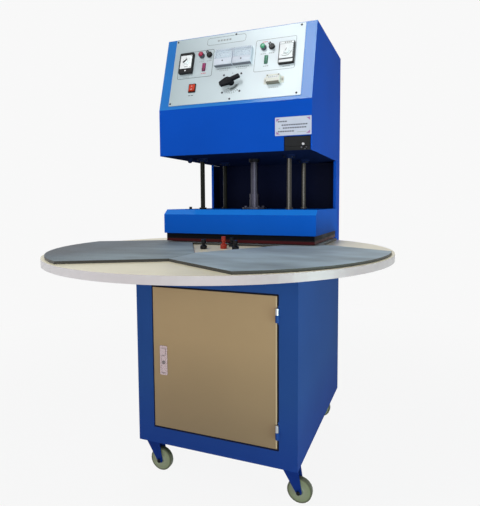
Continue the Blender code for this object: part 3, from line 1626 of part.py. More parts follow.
def build_handle():
    """The range switch: a bar handle, broad at one end, on a shaft through the panel."""
    axis = empty("handle_axis", (HANDLE_X, HANDLE_Y, 0), (0, 0, HANDLE_ANGLE), PANEL)
    low, high = HANDLE_STANDOFF, HANDLE_STANDOFF + HANDLE_THICKNESS
    handle = turned(
        "range_handle",
        [
            (0, high + 0.0015),
            (0.0060, high + 0.0015),
            (0.0078, high),
            (0.0082, low - 0.001),
            (0.0072, ON_FACE + 0.005),
            (0.0094, ON_FACE + 0.003),
            (0.0094, ON_FACE),
            (HANDLE_SHAFT, ON_FACE),
            (HANDLE_SHAFT, -0.030),
            (0, -0.030),
        ],
        BLACK,
        sides=18,
        parent=axis,
    )
    bar = plate(
        "handle_bar",
        [
            [
                (-0.0340, -0.0068),
                (-0.0040, -0.0120),
                (0.0050, -0.0105),
                (0.0090, -0.0052),
                (0.0345, -0.0048),
                (0.0360, 0.0),
                (0.0345, 0.0048),
                (0.0050, 0.0056),
                (-0.0010, 0.0108),
                (-0.0080, 0.0125),
                (-0.0340, 0.0068),
                (-0.0350, 0.0),
            ]
        ],
        low,
        high,
        None,
        parent=axis,
    )
    fuse(handle, bar)


def build_counter():
    """The cycle counter: a case through the panel with an ear at each side."""
    ears = plate(
        "cycle_counter",
        [rectangle(COUNTER_WIDTH + 2 * COUNTER_EAR, COUNTER_HEIGHT - 0.004, COUNTER_X, COUNTER_Y, 0.003)],
        ON_FACE,
        ON_FACE + 0.0015,
        ALUMINIUM,
        parent=PANEL,
    )
    low_y, high_y = COUNTER_Y - COUNTER_HEIGHT / 2, COUNTER_Y + COUNTER_HEIGHT / 2
    case = block(
        "counter_case",
        (COUNTER_X - COUNTER_WIDTH / 2, low_y, ON_FACE),
        (COUNTER_X + COUNTER_WIDTH / 2, high_y, ON_FACE + COUNTER_DEPTH),
        None,
        parent=PANEL,
    )
    behind = block(
        "counter_back",
        (COUNTER_X - COUNTER_WIDTH / 2 + 0.0015, low_y + 0.0015, -0.030),
        (COUNTER_X + COUNTER_WIDTH / 2 - 0.0015, high_y - 0.0015, ON_FACE + 0.001),
        None,
        parent=PANEL,
    )
    window = block(
        "counter_window",
        (COUNTER_X - COUNTER_WIDTH / 2 + 0.005, COUNTER_Y + 0.001, ON_FACE + COUNTER_DEPTH - 0.0015),
        (COUNTER_X + COUNTER_WIDTH / 2 - 0.005, COUNTER_Y + 0.009, ON_FACE + COUNTER_DEPTH + CUT_PAST),
        None,
        parent=PANEL,
    )
    cut(fuse(ears, case, behind), window)


TRAY_STANDOFF = 0.060
TRAY_SIDE_MARGIN = 0.085
TRAY_END_MARGIN = 0.035
TRAY_STAND_INSET = 0.010
TRAY_STAND = 0.008
TRAY_Y = BACK_Y - SHEET - TRAY_STANDOFF
TRAY_HALF_WIDTH = HALF_WIDTH - TRAY_SIDE_MARGIN
TRAY_LOW_Z = CABINET_BOTTOM_Z + TRAY_END_MARGIN
TRAY_HIGH_Z = CABINET_TOP_Z - TRAY_END_MARGIN
TRAY_MIDDLE_Z = (TRAY_LOW_Z + TRAY_HIGH_Z) / 2
# Each device on the tray is (name, x, z above the tray's middle, width, height, depth).
DEVICES = (
    ("contactor", -0.1025, 0.070, 0.075, 0.080, 0.075),
    ("transformer", 0.080, 0.055, 0.100, 0.090, 0.085),
    ("air_valve", -0.010, -0.088, 0.100, 0.045, 0.040),
)


def build_inside():
    """What the cabinet holds: a mounting tray with the contactor, transformer and air valve."""
    front = TRAY_Y
    seat = front + SHEET / 2
    tray = block(
        "component_tray", (-TRAY_HALF_WIDTH, front, TRAY_LOW_Z), (TRAY_HALF_WIDTH, front + SHEET, TRAY_HIGH_Z), STEEL
    )
    stand_x = TRAY_HALF_WIDTH - TRAY_STAND_INSET
    stands = [
        block(
            f"tray_stand_{side}_{end}",
            (side * stand_x - TRAY_STAND, seat, z - TRAY_STAND),
            (side * stand_x + TRAY_STAND, BACK_Y - SHEET - SEAT_GAP, z + TRAY_STAND),
            None,
        )
        for side in (-1, 1)
        for end, z in (("low", TRAY_LOW_Z + TRAY_STAND_INSET), ("high", TRAY_HIGH_Z - TRAY_STAND_INSET))
    ]
    devices = [
        block(
            name,
            (x - width / 2, seat - depth, TRAY_MIDDLE_Z + rise - height / 2),
            (x + width / 2, seat, TRAY_MIDDLE_Z + rise + height / 2),
            None,
        )
        for name, x, rise, width, height, depth in DEVICES
    ]
    fuse(tray, *devices, *stands)


build_cabinet()
rear_fittings()
build_door()
build_column()
build_head()
rear_cover()
build_press()
build_cylinder()
build_turntable()
for caster in CASTERS:
    build_caster(*caster)
build_panel()
build_inside()
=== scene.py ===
"""Looks for the blister sealing machine: materials, panel instruments, fixings, light and camera."""

import math

import bmesh
import bpy
from mathutils import Matrix, Vector

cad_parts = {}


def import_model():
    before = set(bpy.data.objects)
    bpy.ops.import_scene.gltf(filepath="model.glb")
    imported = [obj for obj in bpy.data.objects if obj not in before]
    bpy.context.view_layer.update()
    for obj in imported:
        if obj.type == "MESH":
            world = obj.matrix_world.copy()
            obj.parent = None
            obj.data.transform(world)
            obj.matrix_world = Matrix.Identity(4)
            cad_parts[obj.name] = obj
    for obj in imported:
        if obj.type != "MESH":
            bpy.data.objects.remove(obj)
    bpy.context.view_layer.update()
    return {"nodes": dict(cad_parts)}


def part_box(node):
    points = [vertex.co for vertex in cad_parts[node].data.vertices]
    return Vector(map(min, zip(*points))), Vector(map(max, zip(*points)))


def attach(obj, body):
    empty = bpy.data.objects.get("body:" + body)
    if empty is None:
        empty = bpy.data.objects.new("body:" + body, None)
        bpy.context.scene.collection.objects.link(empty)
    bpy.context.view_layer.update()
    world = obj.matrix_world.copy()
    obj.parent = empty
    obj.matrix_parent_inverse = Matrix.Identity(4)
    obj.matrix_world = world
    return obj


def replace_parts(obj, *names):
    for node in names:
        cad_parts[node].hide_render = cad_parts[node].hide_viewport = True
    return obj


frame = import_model()
NODES = frame["nodes"]

# Places and gaps that the solids give, in metres
CABINET_FRONT_Y = -0.101
# Half of the door opening's width, its lower edge and its upper edge
DOOR_OPENING = (0.207, 0.164, 0.615)
DOOR_GAP = 0.003
SEAT_GAP = 0.0003
AXIS_Y = (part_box("table_board")[0][1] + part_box("table_board")[1][1]) / 2
HEAD_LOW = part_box("head_housing")[0]
HEAD_FRONT_Y = HEAD_LOW[1]
SLOPE_BOTTOM_Z = 1.184
SLOPE_DEPTH = 0.069
SLOPE_HEIGHT = 0.250
SLOPE_LEAN = math.atan2(SLOPE_DEPTH, SLOPE_HEIGHT)
PANEL_FACE = 0.0023
# The panel's own frame: x across, y up the slope, z out of it
PANEL = Matrix.Translation((0, HEAD_FRONT_Y, SLOPE_BOTTOM_Z)) @ Matrix.Rotation(
    math.pi / 2 - SLOPE_LEAN, 4, "X"
)
# The front wall's own frame: x across, y up, z out of the wall
FRONT = Matrix.Translation((0, HEAD_FRONT_Y, 0)) @ Matrix.Rotation(math.pi / 2, 4, "X")
PRINT_LIFT = 0.0001
STRIKER_HEIGHT = 0.009

# Degrees between two faces: up to SMOOTH their edge is shaded smooth, up to FLAT they become one
SMOOTH = 40
FLAT = 0.6


def srgb(red, green, blue):
    """A colour given as it looks on screen, from 0 to 255, as the linear values a shader takes."""
    levels = []
    for value in (red, green, blue):
        level = value / 255
        levels.append(level / 12.92 if level <= 0.04045 else ((level + 0.055) / 1.055) ** 2.4)
    return (*levels, 1.0)


# Materials


def shader(name, colour, roughness, metallic=0.0, shine=0.5, **sockets):
    """A Principled material with its plain values set on the shader's own sockets."""
    made = bpy.data.materials.new(name)
    made.use_nodes = True
    surface = made.node_tree.nodes["Principled BSDF"]
    surface.inputs["Base Color"].default_value = colour
    surface.inputs["Roughness"].default_value = roughness
    surface.inputs["Metallic"].default_value = metallic
    surface.inputs["Specular IOR Level"].default_value = shine
    for socket, value in sockets.items():
        surface.inputs[socket.replace("_", " ").title()].default_value = value
    return made


def add_node(tree, kind, inputs=None, **settings):
    """A new node with its settings. Each input takes another node's output or a plain value."""
    made = tree.nodes.new(f"ShaderNode{kind}")
    for name, value in settings.items():
        setattr(made, name, value)
    for socket, value in (inputs or {}).items():
        if hasattr(value, "links"):
            tree.links.new(value, made.inputs[socket])
        else:
            made.inputs[socket].default_value = value
    return made


def coordinates(tree, stretch=(1, 1, 1)):
    """The place on the machine at rest, in metres, stretched by a factor along each axis."""
    place = add_node(tree, "TexCoord").outputs["Object"]
    return add_node(tree, "Mapping", {"Vector": place, "Scale": stretch}).outputs["Vector"]


def noise(tree, scale, detail=3.0, stretch=(1, 1, 1)):
    """Soft random grain."""
    inputs = {"Vector": coordinates(tree, stretch), "Scale": scale, "Detail": detail}
    return add_node(tree, "TexNoise", inputs).outputs["Fac"]


def ramp(tree, source, low, high, start=0.3, end=0.7):
    """One colour up to the start of a value and another from its end on, with a blend between."""
    made = add_node(tree, "ValToRGB", {"Fac": source})
    first, last = made.color_ramp.elements
    first.position, first.color = start, low
    last.position, last.color = end, high
    return made.outputs["Color"]


def blend_colours(tree, factor, first, second):
    """The first colour where the factor is 0 and the second where it is 1."""
    inputs = {"Factor": factor, 6: first, 7: second}
    return add_node(tree, "Mix", inputs, data_type="RGBA").outputs[2]


def calculate(tree, kind, operation, *values):
    """One step of arithmetic, in a Math or VectorMath node."""
    step = add_node(tree, kind, dict(enumerate(values)), operation=operation)
    return step.outputs[1 if operation == "LENGTH" else 0]


def wire(made, socket, source):
    """Links a node's output to an input of the material's shader."""
    made.node_tree.links.new(source, made.node_tree.nodes["Principled BSDF"].inputs[socket])


def add_bump(made, source, strength, distance):
    """A fine relief, its height in metres."""
    inputs = {"Strength": strength, "Distance": distance, "Height": source}
    wire(made, "Normal", add_node(made.node_tree, "Bump", inputs).outputs["Normal"])


def shade(colour, factor):
    """A colour made darker or lighter."""
    return (*(min(1.0, value * factor) for value in colour[:3]), 1.0)


def shades(tree, grain, colour, spread, *limits):
    """A colour that grain makes darker and lighter by a share."""
    return ramp(tree, grain, shade(colour, 1 - spread), shade(colour, 1 + spread), *limits)


def varied(made, colour, spread=0.08, scale=6.0, roughness=None):
    """Slow variation of a surface's colour, and of its roughness where a pair of limits is given."""
    tree = made.node_tree
    wire(made, "Base Color", shades(tree, noise(tree, scale), colour, spread))
    if roughness:
        low, high = roughness
        grey = ramp(tree, noise(tree, scale * 2.3), (low, low, low, 1), (high, high, high, 1))
        wire(made, "Roughness", grey)
    return made


def along(tree, axis, start, end):
    """0 at the start and 1 at the end of a stretch along one axis of the machine at rest."""
    place = add_node(tree, "SeparateXYZ", {"Vector": coordinates(tree)}).outputs[axis]
    inputs = {"Value": place, "From Min": start, "From Max": end}
    return add_node(tree, "MapRange", inputs).outputs["Result"]


def fade(made, first, second, axis, start, end, spread=0.04, scale=4.0):
    """Goes slowly from one colour to another along an axis, each with slow variation."""
    tree = made.node_tree
    grain = noise(tree, scale)
    ends = [shades(tree, grain, tone, spread) for tone in (first, second)]
    wire(made, "Base Color", blend_colours(tree, along(tree, axis, start, end), *ends))
    return made


def paint(name, colour, roughness=(0.34, 0.46), peel=0.05, gloss=0.06):
    """Powder coat: slow colour variation and a fine orange-peel surface under a thin clear skin."""
    made = shader(name, colour, 0.4, shine=0.0, coat_weight=gloss, coat_roughness=0.16)
    varied(made, colour, 0.05, 4.0, roughness)
    add_bump(made, noise(made.node_tree, 420.0, 2.0), peel, 0.0006)
    return made


def textured_paint(name, colour, shine=0.2):
    """Fine-textured paint that scatters light evenly."""
    made = shader(name, colour, 0.55, shine=shine)
    varied(made, colour, 0.05, 3.0, (0.48, 0.62))
    add_bump(made, noise(made.node_tree, 900.0, 3.0), 0.25, 0.0006)
    return made


def metal(name, colour, roughness, stretch=(1, 1, 1), grain=0.12):
    """Machined or brushed metal: fine lines along one direction in the roughness and the surface."""
    made = shader(name, colour, roughness, 1.0)
    tree = made.node_tree
    lines = noise(tree, 300.0, 4.0, stretch)
    low, high = roughness * 0.75, roughness * 1.3
    wire(made, "Roughness", ramp(tree, lines, (low, low, low, 1), (high, high, high, 1)))
    add_bump(made, lines, grain, 0.0002)
    return made


def plastic(name, colour, roughness=0.35, grain=0.05, **sockets):
    """Moulded plastic or print, with a fine grain."""
    made = shader(name, colour, roughness, **sockets)
    varied(made, colour, 0.06, 20.0, (roughness * 0.85, roughness * 1.15))
    add_bump(made, noise(made.node_tree, 1500.0, 2.0), grain, 0.0002)
    return made


def facing_up(tree):
    """1 where the surface faces up, 0 on walls."""
    normal = add_node(tree, "NewGeometry").outputs["True Normal"]
    rise = add_node(tree, "SeparateXYZ", {"Vector": normal}).outputs["Z"]
    return calculate(tree, "Math", "GREATER_THAN", rise, 0.7)


def table_surface():
    """Cream laminate on top and a white plastic band round the edge, the band darkening to the right as
    painted shade.
    """
    cream = srgb(249, 241, 210)
    made = shader("table_laminate", cream, 0.38)
    tree = made.node_tree
    top = ramp(tree, noise(tree, 9.0, 5.0), shade(cream, 0.95), shade(cream, 1.03))
    # The band darkens towards the right: painted shade
    band = blend_colours(tree, along(tree, "X", -0.25, 0.36), srgb(206, 203, 204), srgb(162, 148, 150))
    wire(made, "Base Color", blend_colours(tree, facing_up(tree), band, top))
    add_bump(made, noise(tree, 700.0, 2.0), 0.05, 0.0003)
    return made


def mat_surface(name, slate, far=None):
    """Slate-grey fabric-faced rubber with a dark cut edge. A second colour, for its inner end, fades in
    as painted light.
    """
    made = shader(name, slate, 0.62, sheen_weight=0.1, sheen_roughness=0.5)
    tree = made.node_tree
    worn = noise(tree, 9.0, 8.0, (0.5, 1.0, 1.0))

    def mottled(colour):
        return ramp(tree, worn, shade(colour, 0.66), shade(colour, 1.42), 0.36, 0.64)

    top = mottled(slate)
    if far:
        top = blend_colours(tree, along(tree, "X", -0.32, -0.06), top, mottled(far))
    wire(made, "Base Color", blend_colours(tree, facing_up(tree), srgb(34, 33, 26), top))
    inputs = {"Vector": coordinates(tree), "Scale": 260.0, "Distortion": 1.5}
    weave = add_node(tree, "TexWave", inputs, wave_type="BANDS")
    add_bump(made, weave.outputs["Fac"], 0.12, 0.0004)
    return made


WHEEL_RADIUS = 0.0375
# Shares of the wheel's radius, each with the colour there
WHEEL_TONES = (
    (0.0, (80, 83, 74)),
    (0.30, (84, 87, 72)),
    (0.36, (130, 135, 112)),
    (0.82, (114, 121, 90)),
    (0.93, (62, 66, 44)),
)


def wheel_surface(name, centre):
    """Grey-green polyurethane: darker at the tread and round the hub, paler between them."""
    made = plastic(name, srgb(146, 150, 132), 0.42, 0.15)
    tree = made.node_tree
    from_axle = calculate(tree, "VectorMath", "SUBTRACT", coordinates(tree), centre)
    in_plane = calculate(tree, "VectorMath", "MULTIPLY", from_axle, (1, 0, 1))
    reach = calculate(tree, "VectorMath", "LENGTH", in_plane)
    share = add_node(tree, "MapRange", {"Value": reach, "From Max": WHEEL_RADIUS})
    rings = add_node(tree, "ValToRGB", {"Fac": share.outputs["Result"]})
    stops = rings.color_ramp.elements
    for number, (place, tone) in enumerate(WHEEL_TONES):
        stop = stops[number] if number < 2 else stops.new(place)
        stop.position = place
        stop.color = srgb(*tone)
    wire(made, "Base Color", rings.outputs["Color"])
    return made


HOUSING_BLUE = paint("housing_blue", srgb(12, 74, 177))
PRESS_BLUE = paint("press_blue", srgb(13, 87, 188))
# The cabinet's blue is darker than the housing's, and darker again towards the bottom: painted shade
# under the table
CABINET_BLUE = paint("cabinet_blue", srgb(36, 67, 126))
fade(CABINET_BLUE, srgb(27, 56, 125), srgb(36, 68, 126), "Z", 0.10, 0.32)
# The forks take a darker blue than the cabinet's paint: painted shade low under the cabinet
FORK_BLUE = paint("fork_blue", srgb(18, 44, 112))
# A lighter copy of the housing's blue: painted light where the slope faces up
SLOPE_LIT_BLUE = paint("slope_lit_blue", srgb(28, 112, 190), (0.3, 0.4), 0.03, 0.45)
# A near-black blue for painted shade inside the column and at its back
SHADE_BLUE = textured_paint("shadow_blue", srgb(6, 13, 40), 0.06)
# A dark navy for the head plate's underside: painted shade under the head
UNDERSIDE_BLUE = textured_paint("underside_blue", srgb(20, 30, 62), 0.0)
# The door darkens towards the bottom: painted shade where less light falls
TAN = textured_paint("bronze_paint", srgb(158, 134, 101))
fade(TAN, srgb(130, 110, 84), srgb(159, 133, 99), "Z", 0.16, 0.46)
# A dark brown on the door's folded edges: painted shade in the gap round the door
EDGE_SHADE_BROWN = textured_paint("door_edge_shade", srgb(70, 59, 44), 0.05)
# A pale tan for the painted highlight on the door's folded edge
FOLD_HIGHLIGHT_TAN = textured_paint("fold_highlight_tan", srgb(184, 166, 136))
# The steel darkens towards the left: painted reflection of a dark surround on that side
STEEL = metal("polished_steel", srgb(62, 61, 58), 0.24, (1, 1, 0.05))
fade(STEEL, srgb(26, 27, 24), srgb(62, 61, 58), "X", -0.1, 0.1)
RAM_STEEL = metal("ram_steel", srgb(62, 62, 72), 0.3, (1, 1, 0.05))
PLATE_STEEL = metal("plate_steel", srgb(150, 152, 155), 0.35, (0.1, 1, 1))
CHROME = metal("chrome_plate", srgb(208, 210, 214), 0.1, grain=0.02)
ALUMINIUM = metal("satin_aluminium", srgb(176, 178, 181), 0.34, (1, 0.1, 1))
LOCK_METAL = metal("lock_metal", srgb(190, 172, 174), 0.26, grain=0.05)
BEZEL_METAL = metal("bezel_metal", srgb(104, 104, 112), 0.3)
SCREW_METAL = metal("screw_metal", srgb(64, 66, 72), 0.35)
BLACK_STEEL = metal("blackened_steel", srgb(26, 27, 31), 0.45)
HEATER_BLACK = textured_paint("heater_black", srgb(8, 10, 17), 0.05)
# A lighter copy of the press's blue: painted light where the chamfer faces up
CHAMFER_LIT_BLUE = paint("chamfer_lit_blue", srgb(30, 124, 224), (0.3, 0.4), 0.03, 0.3)
BLACK = plastic("black_plastic", srgb(12, 13, 15), 0.36, shine=0.2)
HANDLE_BLACK = plastic("handle_black", srgb(7, 9, 15), 0.5, shine=0.12)
# A near-black for the painted shade in the gap round the door
GAP_SHADE_BLACK = plastic("gap_shade_black", srgb(14, 16, 30), 0.7, shine=0.1)
SATIN_BLACK = plastic("satin_black", srgb(24, 25, 27), 0.55, shine=0.15)
RED = plastic("red_plastic", srgb(152, 24, 62), 0.3, shine=0.3)
RED_KNOB = plastic("red_knob", srgb(146, 40, 24), 0.35, shine=0.3)
GREEN = plastic("green_plastic", srgb(26, 142, 98), 0.22)
# The panel goes from greyer at its left to whiter at its right: painted light
PANEL_WHITE = plastic(
    "panel_sheet", srgb(206, 217, 221), 0.4, 0.02, shine=0.0, coat_weight=0.35, coat_roughness=0.2
)
fade(PANEL_WHITE, srgb(173, 186, 190), srgb(216, 227, 232), "X", -0.22, 0.06)
METER_WHITE = plastic("meter_case", srgb(206, 213, 224), 0.4, 0.0, shine=0.15)
METER_GREY = plastic("meter_band", srgb(172, 180, 186), 0.4, shine=0.15)
# Dark grey for the painted shade on the meters' lower side
METER_SHADE = plastic("meter_lower_shade", srgb(112, 116, 126), 0.5, shine=0.1)
METER_DIAL = plastic("meter_dial", srgb(218, 231, 240), 0.5, 0.0, shine=0.1)
COUNTER_CASE = plastic("counter_case", srgb(216, 217, 208), 0.45, shine=0.15)
# Dark grey for the painted shade along the counter's lower edge, also used for the rings round its ears
COUNTER_LIP = plastic("counter_lip", srgb(118, 115, 105), 0.5, shine=0.1)
NOTICE_SHEET = plastic("notice_sheet", srgb(188, 192, 206), 0.5, shine=0.1)
NOTICE_PINK = plastic("notice_corner", srgb(158, 112, 160), 0.5, shine=0.1)
NOTICE_INK = plastic("notice_ink", srgb(78, 80, 94), 0.5, 0.0)
DIAL_WHITE = plastic("dial_face", srgb(232, 236, 237), 0.5, 0.0)
INK = plastic("grey_ink", srgb(76, 88, 90), 0.5, 0.0)
PALE_INK = plastic("pale_ink", srgb(146, 154, 156), 0.5, 0.0)
DARK_INK = plastic("black_ink", srgb(36, 38, 40), 0.5, 0.0)
RED_INK = plastic("red_ink", srgb(196, 92, 104), 0.5, 0.0)
SILICONE = plastic("red_silicone", srgb(118, 42, 42), 0.5, 0.2, shine=0.1)
fade(SILICONE, srgb(64, 17, 21), srgb(20, 16, 18), "Z", 0.7494, 0.7500)
TABLE = table_surface()
# The three mats are one rubber: their different tones, and the left mat's dark outer end, are painted
# light and shade
MATS = {
    "mat_1": mat_surface("mat_rubber_rear", srgb(140, 155, 163)),
    "mat_2": mat_surface("mat_rubber_left", srgb(54, 68, 78), srgb(120, 138, 144)),
    "mat_3": mat_surface("mat_rubber_right", srgb(145, 163, 171)),
}


def clear_plastic():
    """A thin clear window, slightly blue."""
    colour = srgb(222, 233, 242)
    made = shader("clear_cover", colour, 0.35, alpha=0.25, shine=0.1)
    return varied(made, colour, 0.03, 30.0)


def lamp_plastic(name, colour):
    """A moulded lens that lets some light in."""
    made = shader(name, colour, 0.25, transmission_weight=0.08, shine=0.3)
    varied(made, colour, 0.12, 60.0)
    return made


def lens_surfaces(name, *tones):
    """A lamp's lens from its top to its foot: a painted highlight at the top and painted shade at the
    foot.
    """
    places = ("top", "middle", "low")
    return [lamp_plastic(f"{name}_{place}", srgb(*tone)) for place, tone in zip(places, tones)]


CLEAR = clear_plastic()
# Each lens from top to foot: painted highlight above, painted shade below
RED_LENSES = lens_surfaces("red_lens", (150, 62, 108), (160, 22, 88), (96, 8, 52))
GREEN_LENSES = lens_surfaces("green_lens", (76, 140, 114), (28, 96, 74), (8, 50, 38))
ROCKER_RED = lamp_plastic("rocker_red", srgb(196, 54, 24))

# Building pieces


def new_object(name, data):
    """A mesh, text, camera or light as an object in the scene."""
    made = bpy.data.objects.new(name, data)
    bpy.context.scene.collection.objects.link(made)
    return made


def placed(x, y, z, degrees=0.0, axis="X"):
    """A place, with a turn there about one axis."""
    return Matrix.Translation((x, y, z)) @ Matrix.Rotation(math.radians(degrees), 4, axis)


def add_piece(name, shape, surfaces, body="frame", matrix=None, smooth=SMOOTH):
    """Makes an object of a bmesh, in the row's frame, and lets it ride on a body."""
    if matrix is not None:
        bmesh.ops.transform(shape, matrix=matrix, verts=shape.verts)
    bmesh.ops.recalc_face_normals(shape, faces=shape.faces)
    mesh = bpy.data.meshes.new(name)
    shape.to_mesh(mesh)
    shape.free()
    for surface in surfaces if isinstance(surfaces, list) else [surfaces]:
        mesh.materials.append(surface)
    if smooth:
        mesh.shade_smooth()
        mesh.set_sharp_from_angle(angle=math.radians(smooth))
    piece = new_object(name, mesh)
    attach(piece, body)
    return piece


def put_box(shape, low, high, bevel=0.0, index=0, segments=2):
    """A box from its lowest to its highest corner, with rounded edges where a bevel is given."""
    low, high = Vector(low), Vector(high)
    place = Matrix.Translation((low + high) / 2) @ Matrix.Diagonal((*(high - low), 1.0))
    made = bmesh.ops.create_cube(shape, size=1.0, matrix=place)
    faces = {face for vert in made["verts"] for face in vert.link_faces}
    if bevel:
        edges = {edge for vert in made["verts"] for edge in vert.link_edges}
        result = bmesh.ops.bevel(
            shape, geom=list(edges), offset=bevel, segments=segments, profile=0.5, affect="EDGES"
        )
        faces = {face for face in faces if face.is_valid} | set(result["faces"])
    for face in faces:
        face.material_index = index


def circle(x, y, radius, steps=24):
    """The corners of a regular polygon about (x, y)."""
    turns = [2 * math.pi * step / steps for step in range(steps)]
    return [(x + radius * math.cos(turn), y + radius * math.sin(turn)) for turn in turns]


def put_turned(shape, profile, place=Matrix.Identity(4), sides=32, index=0):
    """Adds a lathe-turned form about its own Z. The profile has a radius and a height for each ring."""
    rings = []
    for radius, height in profile:
        corners = circle(0, 0, radius, sides) if radius else [(0, 0)]
        rings.append([shape.verts.new(place @ Vector((*corner, height))) for corner in corners])
    for upper, lower in zip(rings, rings[1:]):
        for n in range(sides):
            m = (n + 1) % sides
            corners = []
            for ring, step in ((upper, n), (lower, n), (lower, m), (upper, m)):
                corner = ring[step % len(ring)]
                if corner not in corners:
                    corners.append(corner)
            if len(corners) > 2:
                shape.faces.new(corners).material_index = index


def put_flat(shape, points, height, index=0):
    """A flat face with these corners."""
    face = shape.faces.new([shape.verts.new((x, y, height)) for x, y in points])
    face.material_index = index


def put_prism(shape, points, low, high, index=0):
    """A flat outline pushed up from one height to another."""
    base = [shape.verts.new((x, y, low)) for x, y in points]
    top = [shape.verts.new((x, y, high)) for x, y in points]
    sides = [
        shape.faces.new((base[n], base[(n + 1) % len(base)], top[(n + 1) % len(top)], top[n]))
        for n in range(len(base))
    ]
    for face in [shape.faces.new(base), shape.faces.new(top), *sides]:
        face.material_index = index


def rounded(x, y, width, height, corner, steps=5):
    """The corners of a rectangle about (x, y) with round corners."""
    points = []
    for quarter, (sx, sy) in enumerate(((1, 1), (-1, 1), (-1, -1), (1, -1))):
        middle_x, middle_y = x + sx * (width / 2 - corner), y + sy * (height / 2 - corner)
        for step in range(steps + 1):
            turn = math.pi / 2 * (quarter + step / steps)
            points.append((middle_x + corner * math.cos(turn), middle_y + corner * math.sin(turn)))
    return points


def put_band(shape, outer, inner, height, index=0):
    """A flat band between two outlines with as many points."""
    outside = [shape.verts.new((x, y, height)) for x, y in outer]
    inside = [shape.verts.new((x, y, height)) for x, y in inner]
    count = len(outside)
    for n in range(count):
        m = (n + 1) % count
        shape.faces.new((outside[n], outside[m], inside[m], inside[n])).material_index = index


def put_frame_line(shape, x, y, width, height, corner, line, level, index=0):
    """The printed outline of a box with round corners."""
    outer = rounded(x, y, width, height, corner)
    inner = rounded(x, y, width - 2 * line, height - 2 * line, corner - line)
    put_band(shape, outer, inner, level, index)


def put_arc(shape, x, y, radius, line, start, end, level, index=0, steps=24):
    """A flat arc of a printed scale, from one angle to another in degrees."""
    previous = None
    for step in range(steps + 1):
        turn = math.radians(start + (end - start) * step / steps)
        pair = [
            shape.verts.new((x + r * math.cos(turn), y + r * math.sin(turn), level))
            for r in (radius - line / 2, radius + line / 2)
        ]
        if previous:
            shape.faces.new((previous[0], previous[1], pair[1], pair[0])).material_index = index
        previous = pair


def put_tick(shape, x, y, inner, outer, degrees, line, level, index=0):
    """A short printed line that points away from (x, y)."""
    turn = math.radians(degrees)
    way = Vector((math.cos(turn), math.sin(turn)))
    side = Vector((-way.y, way.x)) * line / 2
    near, far = Vector((x, y)) + way * inner, Vector((x, y)) + way * outer
    put_flat(shape, [near - side, far - side, far + side, near + side], level, index)


def put_bar(shape, x, y, width, height, level, index=0):
    """A flat rectangle about (x, y)."""
    left, right = x - width / 2, x + width / 2
    low, high = y - height / 2, y + height / 2
    put_flat(shape, [(left, low), (right, low), (right, high), (left, high)], level, index)


def put_bars(shape, x, y, count, pitch, width, height, level, index=0):
    """A row of short plain bars, centred on (x, y)."""
    for number in range(count):
        put_bar(shape, x + (number - (count - 1) / 2) * pitch, y, width, height, level, index)


def put_digit(shape, text, x, y, size, level, index=0):
    """A number as flat shapes, in the built-in plain font."""
    curve = bpy.data.curves.new("digits", "FONT")
    curve.body = text
    curve.size = size
    curve.align_x = "CENTER"
    curve.align_y = "CENTER"
    curve.resolution_u = 2
    holder = new_object("digits", curve)
    drawn = holder.evaluated_get(bpy.context.evaluated_depsgraph_get())
    mesh = bpy.data.meshes.new_from_object(drawn)
    mesh.transform(Matrix.Translation((x, y, level)))
    count = len(shape.faces)
    shape.from_mesh(mesh)
    shape.faces.ensure_lookup_table()
    for face in shape.faces[count:]:
        face.material_index = index
    bpy.data.objects.remove(holder)
    bpy.data.curves.remove(curve)
    bpy.data.meshes.remove(mesh)


# Solids that keep their shape and get small edge radii


WELD_DISTANCE = 0.000005


def round_edges(made, radius, segments):
    """Rounds the sharp edges of an object, and shades its flat faces flat."""
    edge = made.modifiers.new("edge", "BEVEL")
    edge.width = radius
    edge.segments = segments
    edge.limit_method = "ANGLE"
    edge.angle_limit = math.radians(SMOOTH)
    even = made.modifiers.new("even", "WEIGHTED_NORMAL")
    even.keep_sharp = True


def dress(node, surface, radius=0.0):
    """Gives a solid its material, and rounded edges with smooth shading where a radius is given."""
    made = NODES[node]
    made.data.materials.clear()
    made.data.materials.append(surface)
    if radius:
        weld = made.modifiers.new("weld", "WELD")
        weld.merge_threshold = WELD_DISTANCE
        flat = made.modifiers.new("flat", "DECIMATE")
        flat.decimate_type = "DISSOLVE"
        flat.angle_limit = math.radians(FLAT)
        round_edges(made, radius, 2)


def detailed(node, name, body, surfaces, choose, radius=0.0, segments=2):
    """A copy of a solid whose faces take several materials. It stands for the solid."""
    shape = bmesh.new()
    shape.from_mesh(NODES[node].data)
    bmesh.ops.transform(shape, matrix=NODES[node].matrix_world, verts=shape.verts)
    bmesh.ops.remove_doubles(shape, verts=shape.verts, dist=WELD_DISTANCE)
    bmesh.ops.dissolve_limit(
        shape, angle_limit=math.radians(FLAT), verts=shape.verts, edges=shape.edges
    )
    for face in shape.faces:
        face.material_index = choose(face.calc_center_median(), face.normal)
    piece = add_piece(name, shape, surfaces, body, smooth=30)
    if radius:
        round_edges(piece, radius, segments)
    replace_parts(piece, node)
    return piece


CORNERS = ("front_left", "front_right", "rear_left", "rear_right")


